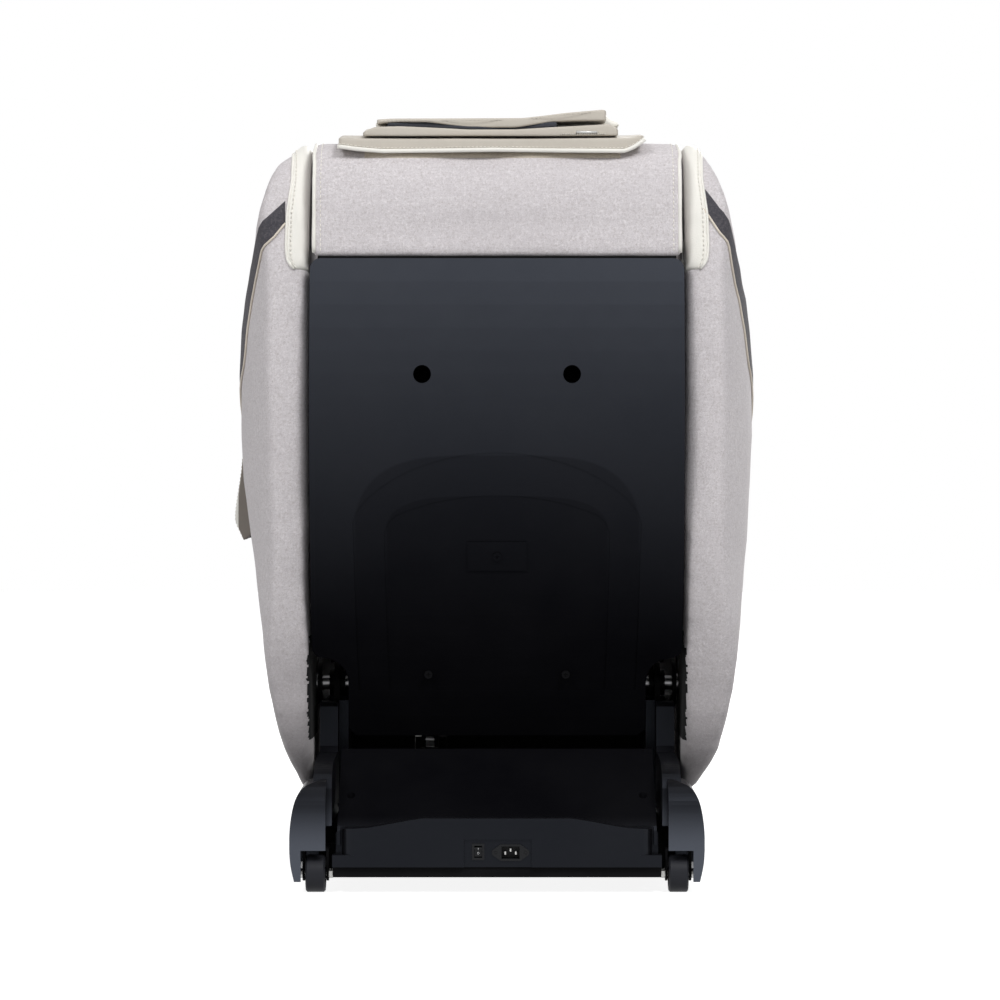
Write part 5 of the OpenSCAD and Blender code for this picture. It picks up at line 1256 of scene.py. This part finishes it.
# ---------------------------------------------------------------- remote pocket
def remote_pocket():
    """The leather pocket for the remote control, its lower corner drawn in to a tip."""
    low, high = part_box("remote_pocket")
    ob = cad_copy("remote_pocket_leather", "remote_pocket")
    remeshed(ob, 0.0016, 3)
    wrinkled(ob, 0.0007, 0.03, 17.0)
    kept(ob, (0.3503, -9, -9))
    co = coords(ob)
    tip = high[0] - 0.012
    floor = low[2] + 0.008 + np.where(co[:, 0] < tip, (tip - co[:, 0]) * 0.9, (co[:, 0] - tip) * 1.5)
    near = np.clip(1 - (co[:, 2] - low[2]) / 0.04, 0, 1)
    co[:, 2] += near * (floor - low[2])
    put(ob, co)
    finished(ob, CREAM, "seat")
    # Painted shade: the pocket's rear and inner faces take the brown-grey leather
    faced(ob, POCKET_SHADE, lambda c, n: n[1] > 0.35 and c[0] < high[0] - 0.0055 or n[0] < -0.4)
    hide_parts("remote_pocket")
    laid = Laid(ob)
    for k, y in enumerate((low[1] + 0.007, high[1] - 0.007)):
        path = laid.traced((0.6, y, low[2] + 0.006), (0.6, y, high[2] - 0.006), 40, (-1, 0, 0))
        laid.sewn(f"pocket_stitches_{k}", path, "seat", CREAM_WORN, pitch=0.0052)
    z = high[2] - 0.008
    path = laid.traced((0.6, low[1] + 0.006, z), (0.6, high[1] - 0.006, z), 30, (-1, 0, 0))
    laid.sewn("pocket_stitches_top", path, "seat", CREAM_WORN, pitch=0.0052)


remote_pocket()


# ---------------------------------------------------------------- black linings
CLOTH_Y = REAR_Y - 0.372
CLOTH_LOW = 0.112
CLOTH_CORNER = 0.025          # how much higher the outer corners reach
OUTER_X = 0.150               # where the cloth's outer corners start


def linings():
    """The black dust cloth behind the base's tray, cut out round the recline actuator."""
    for name, x0, x1, top, corner in (("right", -0.2108, 0.072, 0.262, CLOTH_CORNER),
                                      ("left", 0.118, 0.2108, 0.262, CLOTH_CORNER),
                                      ("middle", 0.0723, 0.1177, 0.178, 0)):
        columns = np.linspace(x0, x1, max(6, int((x1 - x0) / 0.007)))
        rows, out = [], []
        for i in range(13):
            row = []
            for x in columns:
                outer = clamped((abs(x) - OUTER_X) / 0.012)
                z = CLOTH_LOW + (top + CLOTH_CORNER * outer - CLOTH_LOW) * i / 12
                flare = 0.0150 * clamped((z - 0.205) / 0.02) * max(0.0, (abs(x) - OUTER_X) / 0.058)
                y = CLOTH_Y - 0.002 * math.sin(x * 31 + z * 60)
                row.append(Vector((x + math.copysign(flare, x), y, z)))
            rows.append(row)
            out.append([Vector((0, 1, 0))] * len(row))
        cloth = panel("dust_cloth_" + name, rows, out, 0.0006, LINING_AND_SHADE, "base", sink=0.0006,
                      power=30, edge=1)


linings()


# ---------------------------------------------------------------- stage
def stage():
    """The white floor and studio, and the lamps."""
    s = Surface("floor_white", (0.5, 0.5, 0.5), 0.9, specular=0.1)
    paths = s.node("ShaderNodeLightPath")
    s.tint(s.remap(s.noise(1.2, 3, 0.5), 0.3, 0.7), (0.47, 0.47, 0.47), (0.51, 0.51, 0.51))
    s.bsdf.inputs["Emission Color"].default_value = (1, 1, 1, 1)
    through = s.math("MAXIMUM", paths.outputs["Is Transmission Ray"], paths.outputs["Is Glossy Ray"])
    direct = s.math("MAXIMUM", paths.outputs["Is Camera Ray"], through)
    s.link(s.math("MULTIPLY", direct, 0.89), s.bsdf.inputs["Emission Strength"])
    mesh = mesh_of("floor", [(-9, -9, 0), (9, -9, 0), (9, 9, 0), (-9, 9, 0)], [(0, 1, 2, 3)], False)
    mesh.materials.append(s.material)
    add("floor", mesh)

    world = bpy.data.worlds.new("studio")
    scene.world = world
    world.use_nodes = True
    tree = world.node_tree
    tree.nodes.clear()
    paths, through, direct, plain, white, mix, out = (tree.nodes.new("ShaderNode" + kind) for kind in (
        "LightPath", "Math", "Math", "Background", "Background", "MixShader", "OutputWorld"))
    direct.operation = through.operation = "MAXIMUM"
    for background, strength in ((plain, 0.26), (white, 1.0)):
        background.inputs["Color"].default_value = (1, 1, 1, 1)
        background.inputs["Strength"].default_value = strength
    for a, b in ((paths.outputs["Is Glossy Ray"], through.inputs[0]),
                 (paths.outputs["Is Transmission Ray"], through.inputs[1]),
                 (paths.outputs["Is Camera Ray"], direct.inputs[0]), (through.outputs[0], direct.inputs[1]),
                 (direct.outputs[0], mix.inputs["Fac"]), (plain.outputs[0], mix.inputs[1]),
                 (white.outputs[0], mix.inputs[2]), (mix.outputs[0], out.inputs["Surface"])):
        tree.links.new(a, b)

    def lamp(name, place, aim, size, power, height=None):
        data = bpy.data.lights.new(name, "AREA")
        data.shape = "DISK" if height is None else "RECTANGLE"
        data.size = size
        data.size_y = height or size
        data.energy = power
        ob = bpy.data.objects.new(name, data)
        ob.location = place
        ob.rotation_euler = (Vector(aim) - Vector(place)).to_track_quat("-Z", "Y").to_euler()
        scene.collection.objects.link(ob)

    lamp("key", (-1.7, 3.5, 3.9), (0, 0.1, 0.6), 1.4, 106)
    lamp("fill", (2.2, 3.6, 3.6), (0, 0.1, 0.6), 1.4, 71)
    lamp("front", (-1.5, -4.0, 2.8), (0, -0.1, 0.5), 2.6, 100)
    lamp("top", (0, 0.6, 4.2), (0, 0.2, 0.5), 1.6, 9)
    for side in (-1, 1):
        lamp(f"side_{side + 1}", (side * 3.4, 1.5, 0.9), (0, 0.3, 0.5), 1.4, 13, 0.5)


stage()
